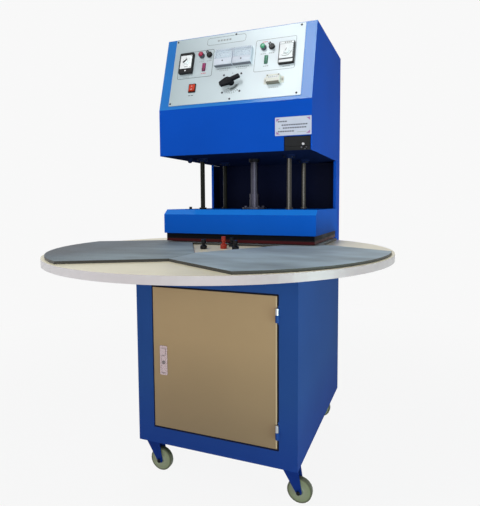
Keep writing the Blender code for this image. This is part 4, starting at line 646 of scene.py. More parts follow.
# The solids that are shown as they are, by their material and the radius of their edges
DRESSES = (
    (HOUSING_BLUE, 0.0004, ["rear_cover"]),
    (CABINET_BLUE, 0.0008, ["cabinet", "deck"]),
    (FORK_BLUE, 0.0005, [f"caster_fork_{corner}" for corner in CORNERS]),
    (UNDERSIDE_BLUE, 0.0006, ["head_plate"]),
    (HEATER_BLACK, 0.0006, ["heater_plate"]),
    (SILICONE, 0.0006, ["silicone_pad"]),
    (STEEL, 0, ["platen", "spindle"]),
    (RAM_STEEL, 0, ["ram"]),
    (BLACK_STEEL, 0.0006, ["spindle_bearing"]),
    (PLATE_STEEL, 0.0006, ["anvil"]),
    (PLATE_STEEL, 0.0004, ["component_tray"]),
    (PLATE_STEEL, 0, ["air_inlet"]),
    (LOCK_METAL, 0.0005, ["lock_body"]),
    (LOCK_METAL, 0, ["lock_button", "lock_lever"]),
    (CHROME, 0, ["throttle_knob"]),
    (SATIN_BLACK, 0.0005, ["valve_block"]),
    (TABLE, 0.0016, ["table_board"]),
    (RED_KNOB, 0, ["spindle_cap"]),
    (PANEL_WHITE, 0, ["control_panel"]),
    (BEZEL_METAL, 0, ["stop_bezel", "start_bezel"]),
    (RED, 0, ["stop_button"]),
    (GREEN, 0, ["start_button"]),
    (BLACK, 0, ["cable_gland", "hub_knob_1", "hub_knob_2", "hub_knob_3"]),
    (BLACK, 0.0003, ["power_switch_frame"]),
    (BLACK, 0.0005, ["timer", "thermostat", "selector_knob_left", "selector_knob_right"]),
    (DIAL_WHITE, 0, ["timer_knob", "thermostat_knob"]),
    (HANDLE_BLACK, 0.0008, ["range_handle"]),
    (ROCKER_RED, 0.0004, ["power_rocker"]),
    (COUNTER_CASE, 0.0005, ["cycle_counter"]),
)


def dress_solids():
    """Gives every solid that is shown as it is its material and its edges."""
    for surface, radius, nodes in DRESSES:
        for node in nodes:
            dress(node, surface, radius)
    for node, surface in MATS.items():
        dress(node, surface, 0.0005)
    for corner in CORNERS:
        low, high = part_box(f"caster_wheel_{corner}")
        rubber = wheel_surface(f"wheel_{corner}", (Vector(low) + Vector(high)) / 2)
        dress(f"caster_wheel_{corner}", rubber)


# To tell faces apart: how far a middle may lie off its plane, how well a normal agrees with the
# slope's, and from which share of it on a normal points one way
NEAR = 0.0005
SAME_WAY = 0.995
TILTED = 0.3


def dress_split_solids():
    """Replaces the solids whose faces take more than one material."""
    slope_normal = Vector((0, -math.cos(SLOPE_LEAN), math.sin(SLOPE_LEAN)))
    cover_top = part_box("press_cover")[1][2] - STRIKER_HEIGHT
    column_low, column_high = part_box("column")

    def head_surface(_centre, normal):
        return 1 if normal.dot(slope_normal) > SAME_WAY else 0

    def cover_surface(centre, normal):
        if centre.z > cover_top + NEAR:
            return 2
        return 1 if normal.z > TILTED and normal.y < -TILTED else 0

    def door_surface(centre, normal):
        if centre.y < CABINET_FRONT_Y - SEAT_GAP:
            return 1
        # Faces along the door's edges take the brown of painted shade in the gap
        return 2 if abs(normal.y) < TILTED else 0

    # The column's inside takes the near-black blue of painted shade
    def column_surface(centre, _normal):
        inside = abs(centre.x) < column_high[0] - NEAR and centre.y < column_high[1] - NEAR
        return 1 if inside and centre.y > column_low[1] + NEAR else 0

    def cylinder_surface(centre, _normal):
        return 1 if centre.z < HEAD_LOW[2] + 2 * NEAR else 0

    # The slope's faces take the lighter blue of painted light
    blues = [HOUSING_BLUE, SLOPE_LIT_BLUE]
    detailed("head_housing", "head_shell", "frame", blues, head_surface, 0.0015, 3)
    surfaces = [PRESS_BLUE, CHAMFER_LIT_BLUE, SATIN_BLACK]
    detailed("press_cover", "press_cover_shell", "press", surfaces, cover_surface, 0.0012)
    surfaces = [TAN, ALUMINIUM, EDGE_SHADE_BROWN]
    detailed("door", "door_leaf", "cabinet_door", surfaces, door_surface, 0.0008)
    blues = [HOUSING_BLUE, SHADE_BLUE]
    detailed("column", "column_channel", "frame", blues, column_surface, 0.0006)
    surfaces = [ALUMINIUM, BLACK_STEEL]
    detailed("air_cylinder", "cylinder_barrel", "frame", surfaces, cylinder_surface)


# The control panel

METER_X = (-0.0375, 0.0275)
METER_Y = 0.163
METER_WIDTH = 0.063
METER_HEIGHT = 0.056
METER_DEPTH = 0.015
CASE_BASE = PANEL_FACE + SEAT_GAP
TIMER = (-0.1765, 0.160)
THERMOSTAT = (0.1755, 0.1545)
BUTTON_X = (-0.1235, 0.0955)
SELECTOR_X = (-0.0955, 0.1235)
SWITCH_Y = 0.185
LAMP_X = (-0.1115, 0.1075)
LAMP_Y = 0.142
ROCKER = (-0.146, 0.069)
COUNTER = (0.140, 0.068)
RANGE = (-0.004, 0.074)

PRINT_INKS = [INK, DARK_INK, RED_INK, PALE_INK]
IN_GREY, IN_BLACK, IN_RED, IN_PALE = range(4)
# The outline of a pan-head screw from its middle out, and the corners of one slot of its cross
SCREW_HEAD = [(0, 0.0016), (0.0016, 0.00155), (0.0029, 0.0011), (0.0035, 0.0003), (0.0035, 0)]
SCREW_SLOT = [(-0.0019, -0.0004), (0.0019, -0.0004), (0.0019, 0.0004), (-0.0019, 0.0004)]
SLOT_LEVEL = 0.00165


def panel_screws():
    """Six pan-head screws at the panel's edges and four round the range switch."""
    shape = bmesh.new()
    places = [(x, y) for x in (-0.2235, -0.006, 0.2155) for y in (0.0195, 0.249)]
    reach = 0.0305
    places += [(RANGE[0] + x * reach, RANGE[1] + y * reach) for x in (-1, 1) for y in (-1, 1)]
    for number, (x, y) in enumerate(places):
        place = Matrix.Translation((x, y, PANEL_FACE)) @ Matrix.Rotation(0.7 * number, 4, "Z")
        put_turned(shape, SCREW_HEAD, place, 16)
        for turn in (0, math.pi / 2):
            slot = place @ Matrix.Rotation(turn, 4, "Z")
            corners = [shape.verts.new(slot @ Vector((*corner, SLOT_LEVEL))) for corner in SCREW_SLOT]
            shape.faces.new(corners).material_index = 1
    add_piece("panel_screws", shape, [SCREW_METAL, DARK_INK], matrix=PANEL)


def put_range_dial(shape, level):
    """The range switch's numbers, their ticks, the soft dark arc inside them, partly print and partly
    the handle's painted shadow, and the mark on top.
    """
    count, start, span, radius = 8, -128, 78, 0.0345
    for number in range(count):
        degrees = start + number * span / (count - 1)
        turn = math.radians(degrees)
        put_tick(shape, *RANGE, 0.0250, 0.0300, degrees, 0.0010, level, IN_BLACK)
        x, y = RANGE[0] + radius * math.cos(turn), RANGE[1] + radius * math.sin(turn)
        put_digit(shape, str(number + 1), x, y, 0.0078, level, IN_BLACK)
    # Each arc: its radius, its width, where it starts and ends in degrees, and its ink. The arcs are
    # partly print and partly the handle's painted shadow
    arcs = (
        (0.0205, 0.0050, -128, -98, IN_PALE),
        (0.0160, 0.0040, -98, -24, IN_PALE),
        (0.0200, 0.0040, -98, -18, IN_GREY),
        (0.0240, 0.0040, -98, -10, IN_PALE),
    )
    for *arc, ink in arcs:
        put_arc(shape, *RANGE, *arc, level, ink)
    put_tick(shape, *RANGE, 0.0330, 0.0360, 90, 0.0022, level, IN_GREY)


def panel_print():
    """Printed group boxes, plain bars where the photo has lettering, and the dial's numbers."""
    shape = bmesh.new()
    level = PANEL_FACE + PRINT_LIFT
    # Each box: its middle, width, height, corner radius and line
    boxes = (
        (-0.145, 0.156, 0.130, 0.098, 0.006, 0.0017),
        (0.1355, 0.1585, 0.135, 0.111, 0.006, 0.0011),
        (-0.040, 0.2335, 0.140, 0.027, 0.009, 0.0011),
    )
    for box in boxes:
        put_frame_line(shape, *box, level)
    # The bars of a row: their pitch, width and height
    tall = (0.0062, 0.0046, 0.0028)
    narrow = (0.0062, 0.0046, 0.0026)
    broad = (0.0068, 0.0046, 0.0026)
    under_meter = (0.0068, 0.0046, 0.0022)
    under_rocker = (0.0105, 0.0080, 0.0026)
    title = (0.0105, 0.0072, 0.0066)
    # Each row: its middle, how many bars, their sizes and its ink
    rows = [(x, 0.1640, 3, tall, IN_PALE) for x in (*BUTTON_X, *SELECTOR_X)]
    rows += [(x, 0.1205, 3, tall, ink) for x, ink in zip(LAMP_X, (IN_RED, IN_PALE))]
    rows.append((0.0985, 0.2055, 3, narrow, IN_RED))
    rows += [(x, 0.1125, 4, narrow, IN_PALE) for x in (TIMER[0], THERMOSTAT[0])]
    for x in METER_X:
        rows.append((x, 0.1285, 7, under_meter, IN_GREY))
        rows.append((x, 0.1220, 5, under_meter, IN_PALE))
    rows.append((ROCKER[0] - 0.003, 0.0440, 2, under_rocker, IN_GREY))
    rows.append((COUNTER[0], 0.0440, 5, broad, IN_PALE))
    rows.append((-0.047, 0.2335, 5, title, IN_PALE))
    for x, y, count, sizes, ink in rows:
        put_bars(shape, x, y, count, *sizes, level, ink)
    put_range_dial(shape, level)
    add_piece("panel_print", shape, PRINT_INKS, matrix=PANEL, smooth=None)


METER_RIM = 0.0022
METER_BAND_SHARE = 0.42
SCALE_RADIUS = 0.0375
SCALE_LINE = 0.0005


def analog_meter(name, x, needle):
    """A square panel meter: white case, dial with scale and needle, clear window, lower band."""
    shape = bmesh.new()
    base, top = CASE_BASE, CASE_BASE + METER_DEPTH
    left, right = x - METER_WIDTH / 2, x + METER_WIDTH / 2
    low, high = METER_Y - METER_HEIGHT / 2, METER_Y + METER_HEIGHT / 2
    band_top = low + METER_HEIGHT * METER_BAND_SHARE
    # The case's back, its walls round an open dial space, and the closed lower band with its strip
    foot, rim = base + 0.003, top - 0.0012
    put_box(shape, (left, low, base), (right, high, base + 0.004), 0.0008)
    put_box(shape, (left, low, foot), (left + METER_RIM, high, rim), 0.0006)
    put_box(shape, (right - METER_RIM, low, foot), (right, high, rim), 0.0006)
    put_box(shape, (left + 0.001, high - METER_RIM, foot), (right - 0.001, high, rim), 0.0006)
    put_box(shape, (left + 0.0005, low, foot), (right - 0.0005, band_top, top - 0.0003), 0.0012)
    corner = (left + 0.003, low + 0.0015, top - 0.0006)
    put_box(shape, corner, (right - 0.003, low + 0.0065, top + PRINT_LIFT), 0.0003, 2)
    dial = base + 0.0046
    put_bar(shape, x, (band_top + high) / 2, METER_WIDTH - 2 * METER_RIM, high - band_top, dial, 1)
    pivot, printed = band_top - 0.012, dial + 2 * PRINT_LIFT
    put_arc(shape, x, pivot, SCALE_RADIUS, SCALE_LINE, 48, 132, printed, 3)
    for step in range(11):
        end = SCALE_RADIUS + (0.0034 if step % 5 == 0 else 0.0022)
        degrees = 132 - 84 * step / 10
        put_tick(shape, x, pivot, SCALE_RADIUS, end, degrees, SCALE_LINE, printed, 3)
    put_tick(shape, x, pivot, 0.014, 0.0385, needle, 0.0007, dial + 0.0030, 3)
    screw = placed(x - 0.0015, band_top - 0.0095, top - 0.0003)
    put_turned(shape, [(0, 0.0003), (0.0020, 0.0002), (0.0026, 0)], screw, 20, 3)
    # A dark grey plate on the case's lower side: painted shade under the meter
    corner = (left + 0.0006, low - 0.0002, base + 0.0005)
    put_box(shape, corner, (right - 0.0006, low + 0.0006, top - 0.0014), 0, 4)
    surfaces = [METER_WHITE, METER_DIAL, METER_GREY, DARK_INK, METER_SHADE]
    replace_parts(add_piece(f"{name}_case", shape, surfaces, matrix=PANEL), name)
    window = bmesh.new()
    corner = (left + 0.0004, band_top - 0.0005, top - 0.0014)
    put_box(window, corner, (right - 0.0004, high - 0.0004, top), 0.0005)
    add_piece(f"{name}_window", window, CLEAR, matrix=PANEL)


CONTROLLER_WIDTH = 0.050
CONTROLLER_HEIGHT = 0.0735
CONTROLLER_DEPTH = 0.010
CONTROLLER_TOP = CASE_BASE + CONTROLLER_DEPTH
DIAL_RISE = 0.004
DIAL_TOP = CONTROLLER_TOP + 0.0063


def corners_of(middle):
    """The left, low, right and high edges of a controller's case."""
    x, y = middle
    half_width, half_height = CONTROLLER_WIDTH / 2, CONTROLLER_HEIGHT / 2
    return x - half_width, y - half_height, x + half_width, y + half_height


def put_raised(shape, left, low, right, high, index=0):
    """A thin plate that stands proud of a controller's case."""
    base, top = CONTROLLER_TOP - 0.0004, CONTROLLER_TOP + 0.0003
    put_box(shape, (left, low, base), (right, high, top), 0.0004, index)


def timer_face():
    """A white dial plate in a black case, with a black strip and its white lamp below."""
    shape = bmesh.new()
    left, low, right, high = corners_of(TIMER)
    put_raised(shape, left + 0.0035, low + 0.0165, right - 0.0040, high - 0.0095)
    level = CONTROLLER_TOP + 0.0004
    x, y = TIMER[0], TIMER[1] + DIAL_RISE
    for step in range(13):
        degrees = -60 + 25 * step
        put_tick(shape, x, y, 0.0125, 0.0150 if step % 2 else 0.0165, degrees, 0.0007, level, 1)
    put_bars(shape, x + 0.001, y - 0.0185, 3, 0.0050, 0.0034, 0.0026, level, 1)
    for corner_y in (low + 0.0200, high - 0.0125):
        put_bar(shape, right - 0.0080, corner_y, 0.0026, 0.0026, level, 1)
    lamp = placed(TIMER[0], low + 0.0085, CONTROLLER_TOP)
    put_turned(shape, [(0, 0.0008), (0.0020, 0.0007), (0.0026, 0)], lamp, 16)
    add_piece("timer_face", shape, [DIAL_WHITE, DARK_INK], matrix=PANEL)


def thermostat_face():
    """A pale dial plate with arcs, a grey band above it and a white strip between black lines below."""
    shape = bmesh.new()
    left, low, right, high = corners_of(THERMOSTAT)
    put_raised(shape, left + 0.0026, low + 0.0165, right - 0.0045, high - 0.0085)
    put_raised(shape, left + 0.0020, high - 0.0078, right - 0.0020, high - 0.0012, 2)
    put_raised(shape, left + 0.0024, low + 0.0030, right - 0.0030, low + 0.0120)
    level = CONTROLLER_TOP + 0.0004
    x, y = THERMOSTAT[0] - 0.003, THERMOSTAT[1] + DIAL_RISE + 0.003
    # The arcs round the knob's lower side are partly a printed scale and partly the knob's painted
    # shadow
    for radius, line in ((0.0140, 0.0010), (0.0195, 0.0013)):
        put_arc(shape, x, y, radius, line, -125, -12, level, 1, 20)
    for step in range(9):
        put_tick(shape, x, y, 0.0195, 0.0220, -125 + 14 * step, 0.0007, level, 1)
    put_bars(shape, THERMOSTAT[0] + 0.004, high - 0.0045, 4, 0.0060, 0.0036, 0.0030, level, 1)
    for number in range(6):
        put_bar(shape, right - 0.0031, low + 0.0215 + number * 0.0075, 0.0018, 0.0030, level, 2)
    add_piece("thermostat_face", shape, [DIAL_WHITE, DARK_INK, METER_GREY], matrix=PANEL)


def knob_pointer(body, middle, length, width, degrees):
    """The raised dark pointer across a controller's knob. It turns with the knob."""
    shape = bmesh.new()
    put_box(shape, (-length / 2, -width / 2, 0), (length / 2, width / 2, 0.0016), 0.0005)
    place = placed(middle[0], middle[1] + DIAL_RISE, DIAL_TOP + PRINT_LIFT, degrees, "Z")
    add_piece(f"{body}_pointer", shape, BLACK, body, PANEL @ place)


def controllers():
    """The faces of the timer and the thermostat, and the pointers on their knobs."""
    timer_face()
    thermostat_face()
    knob_pointer("timer_knob", TIMER, 0.0180, 0.0042, 38)
    knob_pointer("thermostat_knob", THERMOSTAT, 0.0100, 0.0010, 60)


LENS_RIBS = 9
LENS_HEIGHT = 0.0264
LENS_PITCH = LENS_HEIGHT / LENS_RIBS


def lamps():
    """Ribbed rectangular lenses over the two lamp bodies, lighter at the top as painted light."""
    for name, x, lenses in (("red", LAMP_X[0], RED_LENSES), ("green", LAMP_X[1], GREEN_LENSES)):
        shape = bmesh.new()
        corner = (x - 0.0060, LAMP_Y - 0.0140, CASE_BASE)
        put_box(shape, corner, (x + 0.0060, LAMP_Y + 0.0140, CASE_BASE + 0.0016), 0.0004, 3)
        for rib in range(LENS_RIBS):
            y = LAMP_Y - LENS_HEIGHT / 2 + (rib + 0.5) * LENS_PITCH
            corner = (x - 0.0052, y - LENS_PITCH / 2, CASE_BASE + 0.0010)
            opposite = (x + 0.0052, y + LENS_PITCH / 2, CASE_BASE + 0.005)
            put_box(shape, corner, opposite, 0.0007, 2 - rib * 3 // LENS_RIBS)
        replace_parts(add_piece(f"{name}_lens", shape, [*lenses, BLACK], matrix=PANEL), f"{name}_lamp")


def selector_marks():
    """The pale line on top of each selector's knob. It turns with the knob."""
    top = CASE_BASE + 0.0123
    for word, x in zip(("left", "right"), SELECTOR_X):
        shape = bmesh.new()
        put_box(shape, (-0.0006, 0.0010, top - 0.0002), (0.0006, 0.0095, top + 0.0002))
        place = PANEL @ placed(x, SWITCH_Y, 0, 35, "Z")
        add_piece(f"selector_mark_{word}", shape, METER_GREY, f"selector_{word}", place, None)


COUNTER_SCREW = [(0, 0.0013), (0.0016, 0.0012), (0.0021, 0.0003), (0.0021, 0)]
DIGIT_PITCH = 0.0065


def counter_details():
    """The counter's window with its digits, its four screws, a grey band of painted shade along its
    lower edge, and grey ear rings.
    """
    shape = bmesh.new()
    x, y = COUNTER
    top = CASE_BASE + 0.014
    window_y, window = y + 0.005, top - 0.0015
    printed = window + 2 * PRINT_LIFT
    put_bar(shape, x, window_y, 0.034, 0.008, window + PRINT_LIFT, 1)
    for number in range(5):
        shift = number * DIGIT_PITCH
        put_digit(shape, "0", x - 0.0130 + shift, window_y, 0.0080, printed, 0)
        if number:
            put_bar(shape, x - 0.01625 + shift, window_y, 0.0005, 0.008, printed, 2)
    for side in (-1, 1):
        for reach, rise, level in ((0.0275, 0.0, CASE_BASE + 0.0015), (0.0180, 0.0105, top)):
            place = placed(x + side * reach, y + rise, level - 0.0002)
            put_turned(shape, COUNTER_SCREW, place, 14)
        put_arc(shape, x + side * 0.0275, y, 0.0046, 0.0008, -90, 270, CASE_BASE + 0.0016, 3)
    # A grey band on the lower side and along the top's lower edge: painted shade under the counter
    low = y - 0.0130
    corner = (x - 0.0210, low - 0.0004, CASE_BASE + 0.0006)
    put_box(shape, corner, (x + 0.0210, low + 0.0004, top), 0, 3)
    corner = (x - 0.0205, low, top - 0.0002)
    put_box(shape, corner, (x + 0.0205, low + 0.0036, top + 0.0002), 0, 3)
    surfaces = [DARK_INK, DIAL_WHITE, METER_GREY, COUNTER_LIP]
    add_piece("counter_wheels", shape, surfaces, matrix=PANEL)


def rocker_marks():
    """The plain on and off signs on the power rocker, which leans to one side."""
    shape = bmesh.new()
    put_box(shape, (-0.0004, 0.0036, 0.0), (0.0004, 0.0082, 0.0003))
    put_band(shape, circle(0, -0.0062, 0.0024), circle(0, -0.0062, 0.0018), 0.0004)
    place = PANEL @ placed(*ROCKER, CASE_BASE + 0.0055, -8)
    add_piece("rocker_marks", shape, DIAL_WHITE, "power_rocker", place, None)


# Other details


def notice_plate():
    """The white plate on the head's lower right, with pink corner marks and plain bars."""
    shape = bmesh.new()
    left, low, right, high = 0.149, 1.0770, 0.2635, 1.1325
    outline = rounded((left + right) / 2, (low + high) / 2, right - left, high - low, 0.0015)
    put_prism(shape, outline, 0, 0.0010)
    level, margin, pitch = 0.0011, 0.004, 0.0075
    for x, side in ((left + margin, 1), (right - margin, -1)):
        for y, rise in ((low + margin, 1), (high - margin, -1)):
            put_flat(shape, [(x, y), (x + side * 0.0120, y), (x, y + rise * 0.0095)], level, 1)
    # Each row: how far down it is, how long, and how far in
    rows = ((0.009, 0.034, 0.0), (0.020, 0.085, 0.012), (0.029, 0.079, 0.016), (0.039, 0.056, 0.0))
    for drop, length, indent in rows:
        for number in range(int(length / pitch)):
            x = left + 0.012 + indent + number * pitch
            put_bar(shape, x, high - margin - drop, 0.0060, 0.0040, level, 2)
    for x in (left + 0.013, left + 0.015):
        put_bar(shape, x, high - 0.033, 0.0030, 0.0030, level, 3)
    put_bar(shape, right - 0.030, low + 0.009, 0.028, 0.0016, level, 3)
    surfaces = [NOTICE_SHEET, NOTICE_PINK, NOTICE_INK, PALE_INK]
    add_piece("notice_plate", shape, surfaces, matrix=FRONT, smooth=None)


# An air fitting's outline: shares of its radius, each with its height over the sheet
FITTING = ((0, 0.0074), (0.6, 0.0074), (0.7, 0.0050), (1, 0.0046), (1, 0.0006), (0.8, 0))


def valve_cover():
    """The black sheet that closes the valve's cut-out down to the head's edge, and three fittings."""
    shape = bmesh.new()
    low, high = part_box("valve_block")
    face = low[1] + 0.0010
    corner = (low[0], face, HEAD_LOW[2] + 0.0008)
    put_box(shape, corner, (high[0], low[1] + 0.0028, low[2] - 0.0004), 0.0003)
    for x, z, size in ((0.2335, 1.0390, 0.0024), (0.2480, 1.0395, 0.0020), (0.2440, 1.0350, 0.0018)):
        profile = [(size * share, height) for share, height in FITTING]
        put_turned(shape, profile, placed(x, face, z, 90), 14, 1)
    add_piece("valve_cover", shape, [SATIN_BLACK, BEZEL_METAL])


def bay_filler():
    """The dark strip that closes the seat gap between the column's back wall and the head's plate, in
    the blue of the column's painted shade.
    """
    shape = bmesh.new()
    low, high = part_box("column")
    inset = 0.0022
    back = high[1] - inset
    corner = (low[0] + inset, back - 0.0012, high[2] - 0.005)
    put_box(shape, corner, (high[0] - inset, back, high[2] + 0.0002), 0.0002)
    add_piece("bay_filler", shape, SHADE_BLUE)


def door_gap_shade():
    """A black strip of painted shade in the gap round the door, with thin bands of painted shade on the
    cabinet's front.
    """
    shape = bmesh.new()
    half, low_z, high_z = DOOR_OPENING
    face, skin = CABINET_FRONT_Y, 0.0004
    lips = (
        ((-half - 0.0008, low_z), (-half, high_z)),
        ((-half - 0.0008, low_z - 0.0022), (half + 0.0008, low_z)),
        ((-half - 0.0008, high_z), (half + 0.0008, high_z + 0.0026)),
        ((half, low_z), (half + 0.0024, low_z + 0.030)),
        ((half, low_z + 0.084), (half + 0.0024, high_z - 0.084)),
        ((half, high_z - 0.030), (half + 0.0024, high_z)),
    )
    for (left, bottom), (right, top) in lips:
        put_box(shape, (left, face - skin, bottom), (right, face + skin, top))
    near, far = CABINET_FRONT_Y + 0.0012, CABINET_FRONT_Y + 0.0060
    inner, outer = DOOR_GAP - 0.0005, 0.0002
    for side in (-1, 1):
        a, b = sorted((side * (half - inner), side * (half - outer)))
        put_box(shape, (a, near, low_z + outer), (b, far, high_z - outer), 0.0004)
    for edge, way in ((low_z, 1), (high_z, -1)):
        a, b = sorted((edge + way * outer, edge + way * inner))
        put_box(shape, (-half + inner, near, a), (half - inner, far, b), 0.0004)
    add_piece("door_gap_shade", shape, GAP_SHADE_BLACK)


def door_fold_highlight():
    """A pale strip of painted highlight along the door's folded edge, on the hinge side."""
    shape = bmesh.new()
    half, low_z, high_z = DOOR_OPENING
    edge = half - DOOR_GAP - 0.0006
    near = CABINET_FRONT_Y - SEAT_GAP
    put_box(shape, (edge - 0.0036, near, low_z + 0.006), (edge, near + 0.0008, high_z - 0.006), 0.0002)
    add_piece("door_fold_highlight", shape, FOLD_HIGHLIGHT_TAN, "cabinet_door")


AXLE_BOLT = [(0, 0.0034), (0.0030, 0.0032), (0.0052, 0.0020), (0.0062, 0.0006), (0.0062, -0.0006)]


def axle_bolts():
    """A round-headed axle bolt and its nut on each caster fork."""
    for corner in CORNERS:
        shape = bmesh.new()
        low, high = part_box(f"caster_fork_{corner}")
        wheel_low, wheel_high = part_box(f"caster_wheel_{corner}")
        x, z = (wheel_low[0] + wheel_high[0]) / 2, (wheel_low[2] + wheel_high[2]) / 2
        for y, degrees in ((low[1], 90), (high[1], -90)):
            put_turned(shape, AXLE_BOLT, placed(x, y, z, degrees), 18)
        add_piece(f"axle_bolt_{corner}", shape, BLACK_STEEL, f"swivel_{corner}")


def cover_screws():
    """Eight pan-head screws round the service cover on the machine's back."""
    shape = bmesh.new()
    low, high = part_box("rear_cover")
    inset = 0.010
    columns, rows = ((low[n] + inset, (low[n] + high[n]) / 2, high[n] - inset) for n in (0, 2))
    for x in columns:
        for z in rows:
            if (x, z) != (columns[1], rows[1]):
                put_turned(shape, SCREW_HEAD, placed(x, high[1], z, -90), 16)
    add_piece("cover_screws", shape, PLATE_STEEL)


# Half of a socket screw's outline, from the edge of its socket out
SOCKET_SCREW = [
    (0.0014, 0.0012),
    (0.0014, 0.0028),
    (0.0025, 0.0030),
    (0.0028, 0.0026),
    (0.0028, -0.0003),
]
BOLT_CIRCLE = 0.0175
FLANGE_DEPTH = 0.006
# The press's middle lies this far behind the table's axis, with the guide bushes round it
STATION_RADIUS = 0.266
BUSH_X, BUSH_Y = 0.161, 0.095


def bush_bolts():
    """Socket screws in the flanges of the four guide bushes."""
    shape = bmesh.new()
    centre_y = AXIS_Y + STATION_RADIUS
    bottom = HEAD_LOW[2] - FLANGE_DEPTH
    for bush_x in (-BUSH_X, BUSH_X):
        for bush_y in (centre_y - BUSH_Y, centre_y + BUSH_Y):
            for number in range(4):
                turn = math.pi / 4 + number * math.pi / 2
                x, y = bush_x + BOLT_CIRCLE * math.cos(turn), bush_y + BOLT_CIRCLE * math.sin(turn)
                put_turned(shape, SOCKET_SCREW, placed(x, y, bottom, 180), 14)
    add_piece("bush_bolts", shape, BLACK_STEEL)


def lock_keyhole():
    """The key's dark ring and slot on the lock's lever. It moves with the lever."""
    shape = bmesh.new()
    low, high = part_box("lock_body")
    x, z = (low[0] + high[0]) / 2, (low[2] + high[2]) / 2 - 0.0065
    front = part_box("lock_lever")[0][1]
    ring = placed(x, front, z, 90)
    put_turned(shape, [(0.0034, 0.0004), (0.0056, 0.0004), (0.0058, -0.0002)], ring, 24, 1)
    put_turned(shape, [(0, 0.0005), (0.0036, 0.0005), (0.0038, -0.0002)], ring, 24, 0)
    corner = (x - 0.0012, front - 0.0007, z - 0.0030)
    put_box(shape, corner, (x + 0.0012, front - 0.0003, z + 0.0030), index=1)
    add_piece("lock_keyhole", shape, [LOCK_METAL, DARK_INK], "lock_lever")


# The left, low, right and high edges of the contactor on the tray, and its terminals
CONTACTOR = (-0.1360, 0.4240, -0.0690, 0.4960)
TERMINAL_PITCH = 0.020
TERMINAL_WIDTH = 0.014


def inside_details():
    """The contactor and its terminals on the tray inside the cabinet, seen when the door is open."""
    shape = bmesh.new()
    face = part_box("component_tray")[0][1]
    left, bottom, right, top = CONTACTOR
    for number in range(4):
        x = left + 0.003 + number * TERMINAL_PITCH
        for low, high in ((top + 0.0025, top + 0.0100), (bottom - 0.0100, bottom - 0.0025)):
            opposite = (x + TERMINAL_WIDTH, face + 0.040, high)
            put_box(shape, (x, face + 0.012, low), opposite, 0.001)
    put_box(shape, (left, face + 0.0060, bottom), (right, face + 0.0700, top), 0.003, 1)
    add_piece("contactor_terminals", shape, [PLATE_STEEL, SATIN_BLACK])


# Light, floor and camera


# The photo's own view, fitted to the machine's edges: degrees for the camera's directions, metres
# for its place, and pixels of a picture 506 high for its lens and shift
VIEW_YAW, VIEW_PITCH, VIEW_ROLL = 20.29, 4.054, -0.156
VIEW_PLACE = (0.5834, AXIS_Y - 1.2387, 0.8728)
PICTURE_HEIGHT = 506
FOCAL_LENGTH = 439.07
SHIFT = (-21.36, -19.2)
FILM_WIDTH = 36.0


def camera():
    """Looks at the machine as the photo does."""
    yaw, pitch, roll = (math.radians(angle) for angle in (VIEW_YAW, VIEW_PITCH, VIEW_ROLL))
    forward = Vector(
        (-math.sin(yaw) * math.cos(pitch), math.cos(yaw) * math.cos(pitch), -math.sin(pitch))
    )
    right = Vector((math.cos(yaw), math.sin(yaw), 0))
    up = right.cross(forward)
    turned_right = right * math.cos(roll) + up * math.sin(roll)
    turned_up = up * math.cos(roll) - right * math.sin(roll)
    data = bpy.data.cameras.new("camera")
    data.sensor_width = FILM_WIDTH
    data.lens = FOCAL_LENGTH / PICTURE_HEIGHT * FILM_WIDTH
    data.shift_x, data.shift_y = (pixels / PICTURE_HEIGHT for pixels in SHIFT)
    made = new_object("camera", data)
    turned = Matrix((turned_right, turned_up, -forward)).transposed().to_4x4()
    made.matrix_world = Matrix.Translation(VIEW_PLACE) @ turned
    bpy.context.scene.camera = made


def area_light(name, place, target, size, power, colour=(1, 1, 1)):
    """A rectangular light that faces its target."""
    data = bpy.data.lights.new(name, "AREA")
    data.shape = "RECTANGLE"
    data.size, data.size_y = size
    data.energy = power
    data.color = colour
    made = new_object(name, data)
    made.location = place
    made.rotation_euler = (Vector(target) - Vector(place)).to_track_quat("-Z", "Y").to_euler()
    return made


def lights():
    """A high key light that the slope mirrors at its right, and fills from all four sides."""
    area_light("key", (-0.50, -1.95, 3.5), (0.1, 0.05, 1.25), (0.9, 1.1), 42)
    area_light("front", (1.1, -3.2, 1.0), (0, 0, 0.85), (2.0, 1.4), 46)
    area_light("left", (-2.6, -1.8, 1.3), (0, 0, 0.8), (1.4, 1.8), 8)
    area_light("right", (1.9, -0.6, 0.15), (0.2, 0.15, 0.35), (0.9, 0.9), 36, (0.72, 1.0, 0.96))
    back = area_light("back", (-0.8, 3.2, 2.4), (0, 0.4, 0.8), (2.0, 1.6), 42)
    back.visible_glossy = False


def is_seen(tree):
    """1 for what the camera sees directly or in metal and glass, 0 for light on the machine."""
    path = add_node(tree, "LightPath")
    seen = path.outputs["Is Camera Ray"]
    for ray in ("Is Glossy Ray", "Is Transmission Ray"):
        seen = calculate(tree, "Math", "MAXIMUM", seen, path.outputs[ray])
    return seen


def show_mix(tree, share, first, second, output):
    """Shows the first node where the share is 0, and the second where it is 1."""
    mix = add_node(tree, "MixShader", {0: share, 1: first.outputs[0], 2: second.outputs[0]})
    add_node(tree, output, {"Surface": mix.outputs["Shader"]})


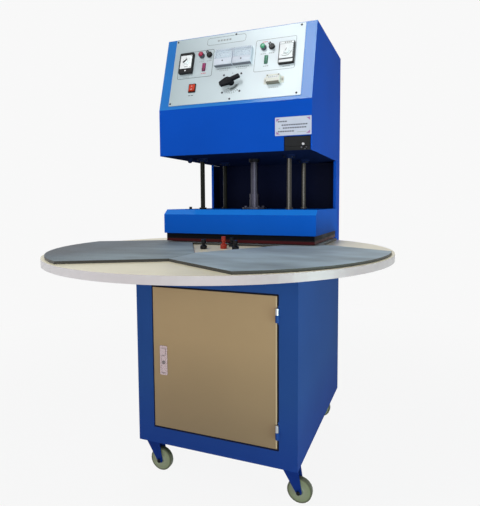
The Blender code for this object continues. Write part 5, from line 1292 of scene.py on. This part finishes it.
def pale_surface(name, level, near_share, near_end, far_start):
    """A pale surface that keeps a soft shadow near the machine and fades into the surround far off."""
    made = bpy.data.materials.new(name)
    made.use_nodes = True
    tree = made.node_tree
    tree.nodes.clear()
    diffuse = add_node(tree, "BsdfDiffuse", {"Color": (0.86, 0.86, 0.86, 1)})
    glow = add_node(tree, "Emission", {"Color": (level, level, level, 1)})
    distance = calculate(tree, "VectorMath", "LENGTH", coordinates(tree))
    inputs = {"Value": distance, "From Min": near_end, "From Max": far_start, "To Min": near_share}
    growing = add_node(tree, "MapRange", inputs, interpolation_type="SMOOTHSTEP")
    share = calculate(tree, "Math", "MULTIPLY", is_seen(tree), growing.outputs["Result"])
    show_mix(tree, share, diffuse, glow, "OutputMaterial")
    return made


BACKGROUND_LEVEL = 0.94


def floor():
    """A wide pale floor just below the wheels."""
    shape = bmesh.new()
    bmesh.ops.create_grid(shape, x_segments=1, y_segments=1, size=40)
    mesh = bpy.data.meshes.new("floor")
    shape.to_mesh(mesh)
    shape.free()
    mesh.materials.append(pale_surface("floor_pale", BACKGROUND_LEVEL, 0.96, 0.8, 2.4))
    made = new_object("floor", mesh)
    made.location = (0, 0, -0.0005)


def world():
    """A soft white surround that lights the machine, and is seen at the background's level."""
    made = bpy.data.worlds.new("surround")
    bpy.context.scene.world = made
    made.use_nodes = True
    tree = made.node_tree
    tree.nodes.clear()
    lit = add_node(tree, "Background", {"Color": (0.93, 0.96, 1.0, 1), "Strength": 0.2})
    seen = add_node(tree, "Background", {"Color": (*[BACKGROUND_LEVEL] * 3, 1)})
    show_mix(tree, is_seen(tree), lit, seen, "OutputWorld")


camera()
lights()
floor()
world()
dress_solids()
dress_split_solids()
panel_screws()
panel_print()
analog_meter("meter_left", METER_X[0], 118)
analog_meter("meter_right", METER_X[1], 96)
controllers()
lamps()
selector_marks()
counter_details()
rocker_marks()
notice_plate()
valve_cover()
bay_filler()
door_gap_shade()
door_fold_highlight()
axle_bolts()
bush_bolts()
cover_screws()
lock_keyhole()
inside_details()

bpy.context.scene.view_settings.view_transform = "Standard"
